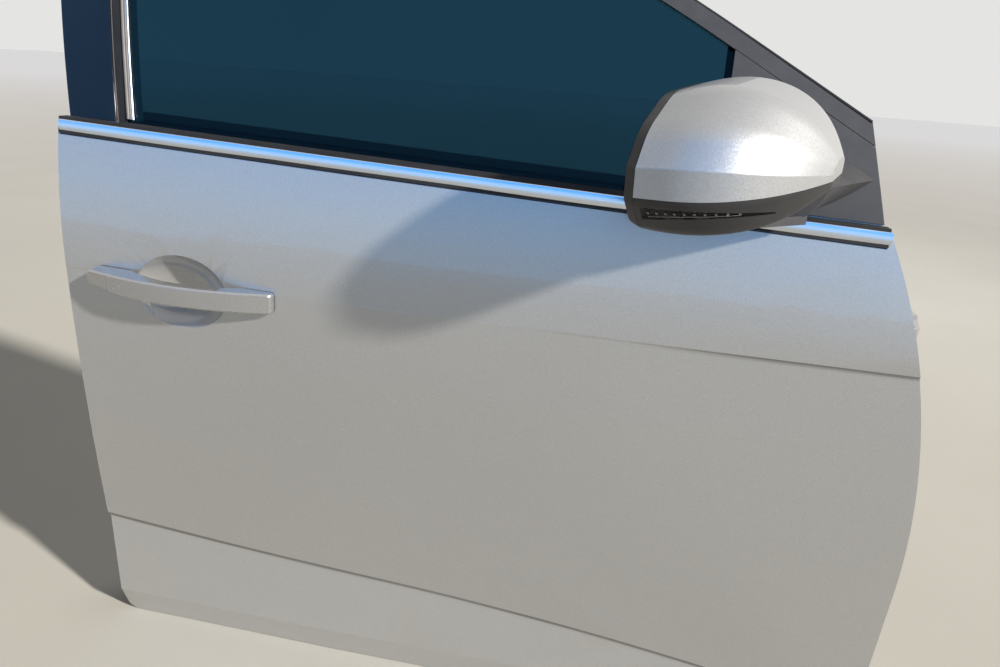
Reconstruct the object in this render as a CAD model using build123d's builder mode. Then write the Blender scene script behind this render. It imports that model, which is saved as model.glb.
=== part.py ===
"""Right-hand front door of an estate car, closed on its hinges: painted skin with its two creases, pressed
inner panel, window frame and glass, bright waist strip, folding door mirror, pull handle, trim and latch.

Millimetres. +X points to the front of the car, +Y into the car and +Z up. The origin is the centre of the
four bolts that hold the two hinges, on the face of the hinge pillar.
"""

from build123d import *

import os
from collections import namedtuple
from math import cos, radians, sin, tan

# Door outline in side view
X_REAR = -1004.0
X_FRONT = 32.0
X_WAIST_FRONT = -72.0
Z_BOTTOM = -379.0
Z_FRONT_CURVE = -100.0
X_FRONT_CURVE_MID = 4.0
Z_FRONT_CURVE_MID = 115.0
Z_WAIST_REAR = 348.0
Z_WAIST_FRONT = 313.0
CORNER_REAR = 14.0
CORNER_FRONT = 26.0

# Window frame outline in side view
Z_TOP = 742.0
X_TOP_REAR = -1078.0
X_FRAME_TIP = -101.0
Z_FRAME_TIP = 416.0
SCREEN_PILLAR_SLOPE = 29.0
SCREEN_PILLAR_RUN = 150.0
FRAME_BAND = 19.0
X_SAIL_REAR = -246.0
X_PILLAR_COVER_FRONT = -930.0
PILLAR_COVER_TAPER = 8.0
TOP_REAR_CORNER = 26.0

# Body side surface: the widest line and how it is tucked in
Y_WIDEST = -118.0
X_WIDEST = -720.0
FRONT_TUCK = 15.0
REAR_TUCK = 1.5
Z_CREASE_REAR = 174.0
Z_CREASE_FRONT = 166.0
SHOULDER_RADIUS = 780.0
CREASE_HEIGHT = 3.0
LOWER_CREASE_HEIGHT = 8.0
LOWER_CREASE_STEP = 5.0
Z_SILL_EDGE = -331.0
SILL_TUCK_SLOPE = 0.36
Z_SURFACE_TOP = 380.0
Z_SURFACE_BOTTOM = -395.0

Station = namedtuple("Station", "x crease_depth lower_z lower_inset")
SIDE_STATIONS = [
    Station(-1030.0, 0.0, -190.0, 16.0),
    Station(-740.0, 0.0, -211.0, 16.0),
    Station(-450.0, 0.0, -230.0, 16.0),
    Station(-170.0, 2.2, -268.0, 17.0),
    Station(50.0, 3.4, -316.0, 19.0),
]

# Greenhouse surface, from the waist up
WAIST_INSET = 33.0
GLASS_LEAN = 13.0
GLASS_RADIUS = 1400.0
Z_LEAN_DATUM = 330.0
Z_GLASS_LOW = 190.0
Z_GLASS_HIGH = 800.0
GREENHOUSE_STATIONS = [-1130.0, -535.0, 60.0]

# Layers of the window frame, measured inboard from its outer face
COVER_T = 2.7
FRAME_FACE = 3.0
RAIL_STEP = 13.0
FRAME_BACK = 37.0
GLASS_SETBACK = 5.2
GLASS_T = 4.0
GLASS_EDGE = 8.0
SEAL_WIDTH = 11.0
COVER_LIFT = 2.6
LEG_DROP = 55.0
GLASS_DROP = 75.0

# Sheet and panel thicknesses
SKIN_T = 1.6
HEM_T = 3.6
HEM_WIDTH = 10.0
INNER_T = 1.5
LEDGE_DEPTH = 13.0
TRIM_T = 2.5
FIT = 0.3

# Inner panel box
WALL_REAR_INSET = 16.0
X_FRONT_WALL = -52.0
Z_FRONT_WALL_KNEE = 215.0
WALL_LEAN = 0.7
WALL_BOTTOM_INSET = 24.0
WALL_TOP_DROP = 8.0
Y_FLOOR = 17.0
WALL_CORNER = 30.0

Opening = namedtuple("Opening", "x z length height")
SERVICE_HOLES = [
    Opening(-790.0, -40.0, 150.0, 190.0),
    Opening(-450.0, -60.0, 210.0, 230.0),
]

# Hinges
Z_HINGE = 190.0
HINGE_AXIS_X = -20.0
HINGE_AXIS_Y = -66.0
PIN_R = 5.0
PIN_RUNNING_GAP = 0.05
KNUCKLE_R = 10.0
KNUCKLE_HALF = 13.0
EAR_T = 6.0
KNUCKLE_GAP = 0.4
LEAF_T = 6.0
LEAF_HALF_HEIGHT = 22.0
BOLT_SPACING_Y = 36.0
BOLT_HOLE_R = 4.5
LEAF_EDGE = 14.0
DOOR_LEAF_LENGTH = 66.0
DOOR_LEAF_OUTBOARD = 5.0

# Waist strip
STRIP_HEIGHT = 16.5
STRIP_PROUD = 1.6
STRIP_TOP_T = 2.0
STRIP_SHELF = 12.0

# Pull handle and its cup
HANDLE_X = -844.5
HANDLE_Z = 164.5
HANDLE_LENGTH = 232.0
HANDLE_HEIGHT = 25.0
HANDLE_END_RISE = 6.5
HANDLE_RISE_LENGTH = 50.0
HANDLE_REAR_CORNERS = (8.0, 70.0, 9.0)
HANDLE_CORNER = 4.0
HANDLE_EDGE = 2.0
HANDLE_TILT = 2.0
HANDLE_PROUD_REAR = 20.0
HANDLE_PROUD_MID = 35.0
HANDLE_PROUD_FRONT = 10.0
GRIP_THICKNESS = 14.0
REAR_FOOT = 46.0
FRONT_FOOT = 38.0
HANDLE_SETBACK = 0.2
PAD_T = 1.2
PAD_SEAT = 0.05
LOCK_CAP_LENGTH = 33.0
CUP_X = -850.0
CUP_Z = 158.0
CUP_HALF_LENGTH = 66.0
CUP_RADIUS = 51.0
CUP_OFFSET = 22.0

# Door mirror: where the middle of its rear face stands, and how it is turned
MIRROR_X = -299.0
MIRROR_Y = -193.0
MIRROR_Z = 384.0
MIRROR_YAW = 24.0
MIRROR_SHELL_T = 2.8
BEZEL_DEPTH = 10.0
BEZEL_REAR_SIZE = 0.955
BEZEL_RIM = 6.5
BEZEL_FLOOR_T = 2.5
MIRROR_GLASS_T = 3.0
CAP_EDGE_DROP = 26.5
CAP_EDGE_PITCH = 3.4
CAP_EDGE_ROLL = 8.0
LENS_START = 6.0
LENS_END = 102.0
LENS_TOP = -45.0
LENS_BOTTOM = -55.5
LENS_TIP = -38.5
LENS_TIP_HEIGHT = 1.2
FOLD_DEPTH = 42.0
FOLD_INBOARD = 60.0
FOLD_PIN_R = 8.0
FOLD_COLLAR_R = 20.0
FOLD_RUNNING_GAP = 0.15
FOLD_FACE_GAP = 0.3
FOLD_SPLIT_Z = 323.0
FOLD_PIN_LENGTH = 22.0
FOOT_BOSS_HEIGHT = 9.0

# Rear outline of the mirror head; the fifth corner is the crease that runs forward along its outer side
Corner = namedtuple("Corner", "inboard up radius")
MIRROR_OUTLINE = [
    Corner(88.0, -54.0, 30.0),
    Corner(88.0, 61.0, 34.0),
    Corner(-22.0, 47.0, 60.0),
    Corner(-66.0, 17.0, 50.0),
    Corner(-82.0, -13.0, 2.5),
    Corner(-79.0, -42.0, 14.0),
    Corner(-58.0, -67.0, 18.0),
]

MirrorSection = namedtuple("MirrorSection", "depth size inboard up")
MIRROR_SECTIONS = [
    MirrorSection(0.0, 1.0, 0.0, 0.0),
    MirrorSection(34.0, 1.06, 5.0, 4.0),
    MirrorSection(66.0, 1.0, 10.0, 4.5),
    MirrorSection(94.0, 0.82, 20.0, 2.0),
    MirrorSection(115.0, 0.54, 32.0, -2.0),
    MirrorSection(130.0, 0.2, 45.0, -7.0),
]

# Mirror foot at three distances from the door: the sharp nose, the top behind it, and the tail
FootSection = namedtuple("FootSection", "y nose_x nose_z top_x top_z tail_x tail_z low_z")
FOOT_SECTIONS = [
    FootSection(-64.0, -88.0, 359.0, -132.0, 376.0, -214.0, 366.0, 322.5),
    FootSection(-92.0, -117.0, 356.0, -146.0, 366.0, -211.0, 352.0, 322.5),
    FootSection(-118.0, -144.0, 353.0, -158.0, 357.0, -182.0, 340.0, 318.0),
]
FOOT_ARM = [(-158.0, -113.0), (-188.0, -113.0)]

# Inside trim
Y_TRIM = 38.0
TRIM_WALL = 3.0
CARD_EDGE = 6.0
CARD_BACK = 0.2
PANEL_RECESS = 2.0
PANEL_X = (-930.0, -330.0)
PANEL_DROP = (84.0, 215.0)
Y_ARMREST = 96.0
ARMREST_X = (-905.0, -305.0)
ARMREST_Z = (26.0, 82.0)
ARMREST_EDGE = 7.0
ARMREST_NECK = 74.0
CUP_WELL_X = (-560.0, -400.0)
CUP_WELL_DEPTH = 38.0
CUP_WELL_WALL = 16.0
POCKET_X = (-880.0, -360.0)
POCKET_Z = (-330.0, -180.0)
POCKET_CORNER = 15.0
Y_POCKET = 88.0
SPEAKER_X = -205.0
SPEAKER_Z = -205.0
SPEAKER_R = 82.0
SPEAKER_RIM = 7.0
SPEAKER_T = 5.0
RELEASE_X = -250.0
RELEASE_Z = 190.0
RELEASE_LENGTH = 120.0
RELEASE_HEIGHT = 46.0
RELEASE_RIM = 6.0
ROLL_Y = 44.0
ROLL_DROP = 62.0
ROLL_EDGE = 12.0
SWITCH_X = -357.0
SWITCH_LENGTH = 64.0
SWITCH_WIDTH = 38.0
SWITCH_PLATE_T = 3.0
ROCKER_LENGTH = 22.0
ROCKER_WIDTH = 14.0
ROCKER_RISE = 3.0
SEAL_TOP_DROP = 12.0
SEAL_HEIGHT = 6.0

# Latch
LATCH_Z = 70.0
LATCH_SLOT = 14.0
LATCH_DEPTH = 30.0
Y_STRIKER_END = -28.0

REACH = 420.0


def plan_y(x):
    """Y of the widest line of the body side at x."""
    if x > X_WIDEST:
        return Y_WIDEST + FRONT_TUCK * ((x - X_WIDEST) / (X_FRONT - X_WIDEST)) ** 2
    return Y_WIDEST + REAR_TUCK * ((x - X_WIDEST) / (X_REAR - X_WIDEST)) ** 2


def crease_z(x):
    """Height of the upper crease at x."""
    share = (x - X_REAR) / (X_FRONT - X_REAR)
    return Z_CREASE_REAR + share * (Z_CREASE_FRONT - Z_CREASE_REAR)


def waist_z(x):
    """Height of the waist line, where the bright strip meets the glass."""
    share = (x - X_REAR) / (X_WAIST_FRONT - X_REAR)
    return Z_WAIST_REAR + share * (Z_WAIST_FRONT - Z_WAIST_REAR)


def shoulder_inset(x, z):
    """How far the painted side lies inboard of its widest line above the crease."""
    return (z - crease_z(x)) ** 2 / (2 * SHOULDER_RADIUS)


def painted_y(x, z):
    """Y of the painted side at or above the crease."""
    return plan_y(x) + shoulder_inset(x, z)


def greenhouse_y(x, z):
    """Y of the outer face of the window frame at x and height z."""
    rise = z - Z_LEAN_DATUM
    return plan_y(x) + WAIST_INSET + rise * tan(radians(GLASS_LEAN)) + rise**2 / (2 * GLASS_RADIUS)


def side_points(station):
    """The painted side at one station, from the top down, as (inset, height), with the middle of each arc."""
    x, depth, low_z, low_inset = station
    z_crease = crease_z(x)
    z_mid_shoulder = (Z_SURFACE_TOP + z_crease) / 2
    z_under = z_crease - CREASE_HEIGHT
    z_mid_side = (z_under + low_z) / 2
    step = low_inset + LOWER_CREASE_STEP
    edge = step + 2
    return {
        "top": (shoulder_inset(x, Z_SURFACE_TOP), Z_SURFACE_TOP),
        "shoulder": (shoulder_inset(x, z_mid_shoulder), z_mid_shoulder),
        "crease": (0.0, z_crease),
        "under": (depth, z_under),
        "side": (depth + (low_inset - depth) * 0.25, z_mid_side),
        "lower": (low_inset, low_z),
        "step": (step, low_z - LOWER_CREASE_HEIGHT),
        "edge": (edge, Z_SILL_EDGE),
        "bottom": (edge + SILL_TUCK_SLOPE * (Z_SILL_EDGE - Z_SURFACE_BOTTOM), Z_SURFACE_BOTTOM),
    }


def side_curve(points, y):
    """One copy of the side's curve, standing at y: a shoulder arc, a long side arc and three flats."""
    at = {name: (y + inset, z) for name, (inset, z) in points.items()}
    ThreePointArc(at["top"], at["shoulder"], at["crease"])
    Line(at["crease"], at["under"])
    ThreePointArc(at["under"], at["side"], at["lower"])
    Polyline(at["lower"], at["step"], at["edge"], at["bottom"])
    return at["top"], at["bottom"]


def side_slab(outboard, inboard):
    """Sheet that follows the painted side, from one depth behind it to another."""
    with BuildPart() as slab:
        for station in SIDE_STATIONS:
            points = side_points(station)
            with BuildSketch(Plane.YZ.offset(station.x)):
                with BuildLine():
                    top_a, bottom_a = side_curve(points, plan_y(station.x) + outboard)
                    top_b, bottom_b = side_curve(points, plan_y(station.x) + inboard)
                    Line(top_a, top_b)
                    Line(bottom_a, bottom_b)
                make_face()
        loft()
    return slab.part


def greenhouse_slab(outboard, inboard):
    """Sheet that follows the leaning glass, from one depth behind the frame's face to another."""
    z_mid = (Z_GLASS_LOW + Z_GLASS_HIGH) / 2
    with BuildPart() as slab:
        for x in GREENHOUSE_STATIONS:
            ends = []
            with BuildSketch(Plane.YZ.offset(x)):
                with BuildLine():
                    for depth in (outboard, inboard):
                        low, mid, high = [
                            (greenhouse_y(x, z) + depth, z) for z in (Z_GLASS_LOW, z_mid, Z_GLASS_HIGH)
                        ]
                        ThreePointArc(low, mid, high)
                        ends.append((low, high))
                    Line(ends[0][0], ends[1][0])
                    Line(ends[0][1], ends[1][1])
                make_face()
        loft()
    return slab.part


def panel_face(inset=0.0):
    """Side view of the door below the waist."""
    with BuildSketch(Plane.XZ) as sketch:
        with BuildLine():
            Polyline(
                (X_FRONT, Z_FRONT_CURVE),
                (X_FRONT, Z_BOTTOM),
                (X_REAR, Z_BOTTOM),
                (X_REAR, Z_WAIST_REAR),
                (X_WAIST_FRONT, Z_WAIST_FRONT),
            )
            ThreePointArc(
                (X_WAIST_FRONT, Z_WAIST_FRONT),
                (X_FRONT_CURVE_MID, Z_FRONT_CURVE_MID),
                (X_FRONT, Z_FRONT_CURVE),
            )
        make_face()
        low = sketch.vertices().group_by(Axis.Z)[0].sort_by(Axis.X)
        fillet(low[0], CORNER_REAR)
        fillet(low[-1], CORNER_FRONT)
        if inset:
            offset(amount=-inset, kind=Kind.INTERSECTION, mode=Mode.REPLACE)
    return sketch.sketch


def frame_face(inset=0.0):
    """Side view of the door above the waist, with a skirt below it."""
    pillar_end = (
        X_FRAME_TIP - SCREEN_PILLAR_RUN,
        Z_FRAME_TIP + SCREEN_PILLAR_RUN * tan(radians(SCREEN_PILLAR_SLOPE)),
    )
    tangent = (-cos(radians(SCREEN_PILLAR_SLOPE)), sin(radians(SCREEN_PILLAR_SLOPE)))
    skirt = 60.0
    with BuildSketch(Plane.XZ) as sketch:
        with BuildLine():
            Line((X_FRAME_TIP, Z_FRAME_TIP), pillar_end)
            TangentArc(pillar_end, (X_TOP_REAR, Z_TOP), tangent=tangent)
            Polyline(
                (X_TOP_REAR, Z_TOP),
                (X_REAR, Z_WAIST_REAR),
                (X_REAR, Z_WAIST_REAR - skirt),
                (X_WAIST_FRONT, Z_WAIST_FRONT - skirt),
                (X_WAIST_FRONT, Z_WAIST_FRONT),
                (X_FRAME_TIP, Z_FRAME_TIP),
            )
        make_face()
        top_rear = sketch.vertices().sort_by(Axis.Z)[-1]
        fillet(top_rear, TOP_REAR_CORNER)
        if inset:
            offset(amount=-inset, kind=Kind.INTERSECTION, mode=Mode.REPLACE)
    return sketch.sketch


def above_waist(margin=0.0):
    """Side view of everything above a line that lies margin above the waist line."""
    with BuildSketch(Plane.XZ) as sketch:
        with BuildLine():
            Polyline(
                (-1200.0, waist_z(-1200.0) + margin),
                (200.0, waist_z(200.0) + margin),
                (200.0, 900.0),
                (-1200.0, 900.0),
                close=True,
            )
        make_face()
    return sketch.sketch


def pillar_cover_x(z):
    """X of the front edge of the rear pillar's cover at height z."""
    lean = (X_TOP_REAR - X_REAR) / (Z_TOP - Z_WAIST_REAR)
    return X_PILLAR_COVER_FRONT + (z - Z_WAIST_REAR) * (lean + PILLAR_COVER_TAPER / (Z_TOP - Z_WAIST_REAR))


def shut_face(inset=0.0, top_drop=WALL_TOP_DROP):
    """Side view of the deep box of the inner panel, up to top_drop below the waist."""
    x_rear = X_REAR + WALL_REAR_INSET
    z_low = Z_BOTTOM + WALL_BOTTOM_INSET
    z_high = 520.0
    with BuildSketch(Plane.XZ) as sketch:
        with BuildLine():
            Polyline(
                (x_rear, z_low),
                (x_rear, z_high),
                (X_FRONT_WALL - WALL_LEAN * (z_high - Z_FRONT_WALL_KNEE), z_high),
                (X_FRONT_WALL, Z_FRONT_WALL_KNEE),
                (X_FRONT_WALL, z_low),
                close=True,
            )
        make_face()
        low = sketch.vertices().group_by(Axis.Z)[0]
        fillet(low, WALL_CORNER)
        if inset:
            offset(amount=-inset, kind=Kind.INTERSECTION, mode=Mode.REPLACE)
        add(waist_band(-900.0, -top_drop, -1200.0, 200.0), mode=Mode.INTERSECT)
    return sketch.sketch


def cut_to(face, mode=Mode.INTERSECT):
    """Keeps (or removes) what lies within a side view, right across the door."""
    extrude(to_extrude=face, amount=REACH, both=True, mode=mode)


def cup_body(grow):
    """Solid of the finger cup behind the handle, an egg turned about a level line outboard of the skin."""
    centre = (CUP_X, plan_y(CUP_X) - CUP_OFFSET, CUP_Z)
    with BuildPart() as dish:
        with BuildSketch(Plane(origin=centre, x_dir=(1, 0, 0), z_dir=(0, 0, 1))):
            Ellipse(CUP_HALF_LENGTH + grow, CUP_RADIUS + grow)
            Rectangle(
                3 * CUP_HALF_LENGTH, 3 * CUP_RADIUS, align=(Align.CENTER, Align.MAX), mode=Mode.SUBTRACT
            )
        revolve(axis=Axis(centre, (1, 0, 0)))
    return dish.part


def mirror_plane(depth, inboard=0.0, up=0.0):
    """Plane across the mirror head at one depth in front of its rear face; local x points inboard."""
    turn = radians(MIRROR_YAW)
    forward = Vector(cos(turn), -sin(turn), 0)
    across = Vector(sin(turn), cos(turn), 0)
    origin = Vector(MIRROR_X, MIRROR_Y, MIRROR_Z) + forward * depth + across * inboard + Vector(0, 0, up)
    return Plane(origin=origin, x_dir=across, z_dir=forward)


def mirror_outline(plane, size=1.0, inset=0.0):
    """The mirror's rear outline, drawn on a plane at a given size."""
    with BuildSketch(plane) as sketch:
        with BuildLine():
            FilletPolyline(
                *[(corner.inboard * size, corner.up * size) for corner in MIRROR_OUTLINE],
                radius=[corner.radius * size for corner in MIRROR_OUTLINE],
                close=True,
            )
        make_face()
        if inset:
            offset(amount=-inset, mode=Mode.REPLACE)
    return sketch.sketch


def mirror_body(shrink):
    """The mirror head as a solid, made smaller all round by shrink."""
    width = MIRROR_OUTLINE[0].inboard
    with BuildPart() as head:
        for section in MIRROR_SECTIONS:
            depth = section.depth * (1 - shrink / MIRROR_SECTIONS[-1].depth)
            add(mirror_outline(mirror_plane(depth, section.inboard, section.up), section.size - shrink / width))
        loft()
    return head.part


def lens_block(grow):
    """A wedge right across the mirror head, seen from the side as the lamp strip, grown all round by grow."""
    rear = mirror_plane(0.0)
    with BuildPart() as block:
        with BuildSketch(Plane(origin=rear.origin, x_dir=rear.z_dir, z_dir=-rear.x_dir)):
            with BuildLine():
                Polyline(
                    (LENS_START - grow, LENS_BOTTOM - grow),
                    (LENS_END + grow, LENS_TIP - LENS_TIP_HEIGHT - grow),
                    (LENS_END + grow, LENS_TIP + grow),
                    (LENS_START - grow, LENS_TOP + grow),
                    close=True,
                )
            make_face()
        extrude(amount=150.0)
    return block.part


def fold_point(z):
    """A point on the mirror's folding axis."""
    origin = mirror_plane(FOLD_DEPTH, FOLD_INBOARD).origin
    return Vector(origin.X, origin.Y, z)


def box_between(x, y, z, mode=Mode.ADD):
    """A block given by its ends along each axis."""
    with Locations((sum(x) / 2, sum(y) / 2, sum(z) / 2)):
        Box(abs(x[1] - x[0]), abs(y[1] - y[0]), abs(z[1] - z[0]), mode=mode)


def keep_y(low, high):
    """Keeps what lies between two y."""
    box_between((-1300, 300), (low, high), (-600, 1000), mode=Mode.INTERSECT)


def waist_band(low, high, x_from, x_to):
    """Side view of a band that runs along the waist line, from low to high above it."""
    with BuildSketch(Plane.XZ) as sketch:
        with BuildLine():
            Polyline(
                (x_from, waist_z(x_from) + low),
                (x_to, waist_z(x_to) + low),
                (x_to, waist_z(x_to) + high),
                (x_from, waist_z(x_from) + high),
                close=True,
            )
        make_face()
    return sketch.sketch


def window_hole(grow, z_low):
    """Side view of the glass between its channels, grown by grow at the top and sides, open down to z_low."""
    with BuildSketch(Plane.XZ) as sketch:
        add(frame_face(FRAME_BAND - grow))
        with BuildSketch(Plane.XZ, mode=Mode.INTERSECT):
            with BuildLine():
                Polyline(
                    (pillar_cover_x(z_low) - grow, z_low),
                    (X_SAIL_REAR + grow, z_low),
                    (X_SAIL_REAR + grow, 900.0),
                    (pillar_cover_x(900.0) - grow, 900.0),
                    close=True,
                )
            make_face()
    return sketch.sketch


def sail_area(grow=0.0):
    """Side view of the triangle in front of the glass, below the screen pillar's band."""
    slope = tan(radians(SCREEN_PILLAR_SLOPE))
    drop = FRAME_BAND / cos(radians(SCREEN_PILLAR_SLOPE)) - grow
    x_rear = X_SAIL_REAR - grow
    x_front = 0.0
    with BuildSketch(Plane.XZ) as sketch:
        with BuildLine():
            Polyline(
                (x_rear, waist_z(x_rear) + COVER_LIFT - grow),
                (x_front, waist_z(x_front) + COVER_LIFT - grow),
                (x_front, Z_FRAME_TIP + slope * (X_FRAME_TIP - x_front) - drop),
                (x_rear, Z_FRAME_TIP + slope * (X_FRAME_TIP - x_rear) - drop),
                close=True,
            )
        make_face()
    return sketch.sketch


def pillar_cover_area(grow=0.0):
    """Side view of the rear pillar's cover, from the waist to the top band."""
    z_top = Z_TOP - FRAME_BAND - 3.0 + grow
    z_low = waist_z(X_REAR) + COVER_LIFT - grow
    front = SEAL_WIDTH - grow
    with BuildSketch(Plane.XZ) as sketch:
        with BuildLine():
            Polyline(
                (-1200.0, z_low),
                (pillar_cover_x(z_low) - front, waist_z(pillar_cover_x(z_low)) + COVER_LIFT - grow),
                (pillar_cover_x(z_top) - front, z_top),
                (-1200.0, z_top),
                close=True,
            )
        make_face()
    return sketch.sketch


os.makedirs("parts", exist_ok=True)

# Painted skin: one sheet with a hem round its edge and the finger cup pressed into it
with BuildPart() as hem:
    add(side_slab(SKIN_T / 2, HEM_T))
    cut_to(panel_face())
    cut_to(panel_face(HEM_WIDTH), mode=Mode.SUBTRACT)
with BuildPart() as cup_shell:
    add(side_slab(SKIN_T / 2, CUP_RADIUS))
    add(cup_body(SKIN_T), mode=Mode.INTERSECT)
with BuildPart() as outer_skin:
    add(side_slab(0.0, SKIN_T))
    cut_to(panel_face())
    add(hem.part)
    add(cup_shell.part)
    add(cup_body(0.0), mode=Mode.SUBTRACT)
outer_skin.part.label = "outer_skin"
export_step(outer_skin.part, "parts/outer_skin.step")

# Pressed inner panel: hemmed flange, a step for the weather seal, and a deep box open at the waist
flange_out = HEM_T + 0.1
with BuildPart() as flange:
    add(side_slab(flange_out, flange_out + INNER_T))
    cut_to(panel_face(1.0))
with BuildPart() as ledge:
    add(side_slab(flange_out, LEDGE_DEPTH))
    cut_to(panel_face(HEM_WIDTH + 1.0))
with BuildPart() as deep_box:
    add(side_slab(LEDGE_DEPTH - INNER_T, 260.0))
    cut_to(shut_face())
    keep_y(-200.0, Y_FLOOR)
with BuildPart() as ledge_space:
    add(side_slab(0.0, LEDGE_DEPTH - INNER_T))
    cut_to(panel_face(HEM_WIDTH + 1.0 + INNER_T))
with BuildPart() as box_space:
    add(side_slab(0.0, 260.0))
    cut_to(shut_face(INNER_T))
    keep_y(-200.0, Y_FLOOR - INNER_T)
with BuildPart() as inner_panel:
    add(flange.part)
    add(ledge.part)
    add(deep_box.part)
    add(ledge_space.part, mode=Mode.SUBTRACT)
    add(box_space.part, mode=Mode.SUBTRACT)
    for x, z, length, height in SERVICE_HOLES:
        with BuildSketch(Plane.XZ.offset(-Y_FLOOR - 5)):
            with Locations((x, z)):
                RectangleRounded(length, height, 0.3 * height)
        extrude(amount=12, mode=Mode.SUBTRACT)
    box_between(
        (X_REAR, X_REAR + WALL_REAR_INSET + LATCH_DEPTH),
        (Y_STRIKER_END, Y_FLOOR + 5),
        (LATCH_Z - LATCH_SLOT / 2, LATCH_Z + LATCH_SLOT / 2),
        mode=Mode.SUBTRACT,
    )
inner_panel.part.label = "inner_panel"
export_step(inner_panel.part, "parts/inner_panel.step")

# Window frame: a stepped rail round the glass, a plate behind the sail, and legs that drop into the box
with BuildPart() as frame_block:
    add(greenhouse_slab(FRAME_FACE, FRAME_BACK))
    with BuildSketch(Plane.XZ):
        add(frame_face(0.6))
        add(above_waist(), mode=Mode.INTERSECT)
        with BuildSketch(Plane.XZ):
            add(shut_face(INNER_T + 0.2, top_drop=-1.0))
            add(waist_band(-LEG_DROP, 5.0, -1200.0, 200.0), mode=Mode.INTERSECT)
    extrude(amount=REACH, both=True, mode=Mode.INTERSECT)
with BuildPart() as outer_opening:
    add(greenhouse_slab(-20.0, RAIL_STEP))
    cut_to(window_hole(SEAL_WIDTH, 200.0))
with BuildPart() as sail_pocket:
    add(greenhouse_slab(FRAME_FACE + 4.0, FRAME_BACK + 30.0))
    with BuildSketch(Plane.XZ):
        add(sail_area())
        add(frame_face(FRAME_BAND), mode=Mode.INTERSECT)
        offset(amount=-6.0, kind=Kind.INTERSECTION, mode=Mode.REPLACE)
    extrude(amount=REACH, both=True, mode=Mode.INTERSECT)
with BuildPart() as window_frame:
    add(frame_block.part)
    add(outer_opening.part, mode=Mode.SUBTRACT)
    cut_to(window_hole(1.0, 200.0), mode=Mode.SUBTRACT)
    add(sail_pocket.part, mode=Mode.SUBTRACT)
window_frame.part.label = "window_frame"
export_step(window_frame.part, "parts/window_frame.step")

# Rubber channel that holds the glass at the top and both sides
with BuildPart() as channel_slot:
    add(greenhouse_slab(GLASS_SETBACK - FIT, GLASS_SETBACK + GLASS_T + FIT))
    cut_to(window_hole(GLASS_EDGE + FIT, 200.0))
with BuildPart() as glass_channel:
    add(greenhouse_slab(FRAME_FACE, RAIL_STEP - 0.2))
    cut_to(window_hole(SEAL_WIDTH - 0.3, 200.0))
    cut_to(above_waist(-LEG_DROP + 5.0))
    cut_to(window_hole(0.0, 190.0), mode=Mode.SUBTRACT)
    add(channel_slot.part, mode=Mode.SUBTRACT)
glass_channel.part.label = "glass_channel"
export_step(glass_channel.part, "parts/glass_channel.step")

with BuildPart() as window_glass:
    add(greenhouse_slab(GLASS_SETBACK, GLASS_SETBACK + GLASS_T))
    cut_to(window_hole(GLASS_EDGE, 200.0))
    cut_to(above_waist(-GLASS_DROP))
window_glass.part.label = "window_glass"
export_step(window_glass.part, "parts/window_glass.step")

# Covers on the outside of the frame
with BuildPart() as pillar_cover:
    add(greenhouse_slab(0.0, COVER_T))
    cut_to(frame_face(0.4))
    cut_to(pillar_cover_area())
pillar_cover.part.label = "pillar_cover"
export_step(pillar_cover.part, "parts/pillar_cover.step")
with BuildPart() as sail_panel:
    add(greenhouse_slab(0.0, COVER_T))
    cut_to(frame_face(0.4))
    cut_to(sail_area())
sail_panel.part.label = "sail_panel"
export_step(sail_panel.part, "parts/sail_panel.step")
with BuildPart() as frame_moulding:
    add(greenhouse_slab(0.0, COVER_T))
    cut_to(frame_face(0.4))
    cut_to(frame_face(FRAME_BAND), mode=Mode.SUBTRACT)
    cut_to(pillar_cover_area(0.5), mode=Mode.SUBTRACT)
    cut_to(sail_area(0.5), mode=Mode.SUBTRACT)
    cut_to(above_waist(60.0))
frame_moulding.part.label = "frame_moulding"
export_step(frame_moulding.part, "parts/frame_moulding.step")

# Bright waist strip over the skin's top edge, with the rubber lips either side of the glass
with BuildPart() as strip_face:
    add(side_slab(-STRIP_PROUD, -0.15))
    cut_to(waist_band(-STRIP_HEIGHT, FIT + STRIP_TOP_T, X_REAR + 1.5, X_WAIST_FRONT + 0.5))
with BuildPart() as waist_strip:
    add(side_slab(-STRIP_PROUD, STRIP_SHELF))
    cut_to(waist_band(0.2, 0.2 + STRIP_TOP_T, X_REAR + 1.5, X_WAIST_FRONT + 0.5))
    add(strip_face.part)
waist_strip.part.label = "waist_strip"
export_step(waist_strip.part, "parts/waist_strip.step")
with BuildPart() as shelf_side:
    add(side_slab(STRIP_SHELF + 0.2, 120.0))
with BuildPart() as outer_glass_seal:
    add(greenhouse_slab(-25.0, GLASS_SETBACK - FIT))
    add(shelf_side.part, mode=Mode.INTERSECT)
    cut_to(waist_band(-5.0, STRIP_TOP_T, X_REAR + 2.0, X_WAIST_FRONT - 2.0))
    cut_to(window_hole(-0.5, 200.0))
outer_glass_seal.part.label = "outer_glass_seal"
export_step(outer_glass_seal.part, "parts/outer_glass_seal.step")
with BuildPart() as inner_glass_seal:
    add(greenhouse_slab(GLASS_SETBACK + GLASS_T + FIT, FRAME_BACK - 0.5))
    cut_to(waist_band(-12.0, 1.5, -1100.0, 0.0))
    cut_to(window_hole(-0.3, 200.0))
inner_glass_seal.part.label = "inner_glass_seal"
export_step(inner_glass_seal.part, "parts/inner_glass_seal.step")

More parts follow.
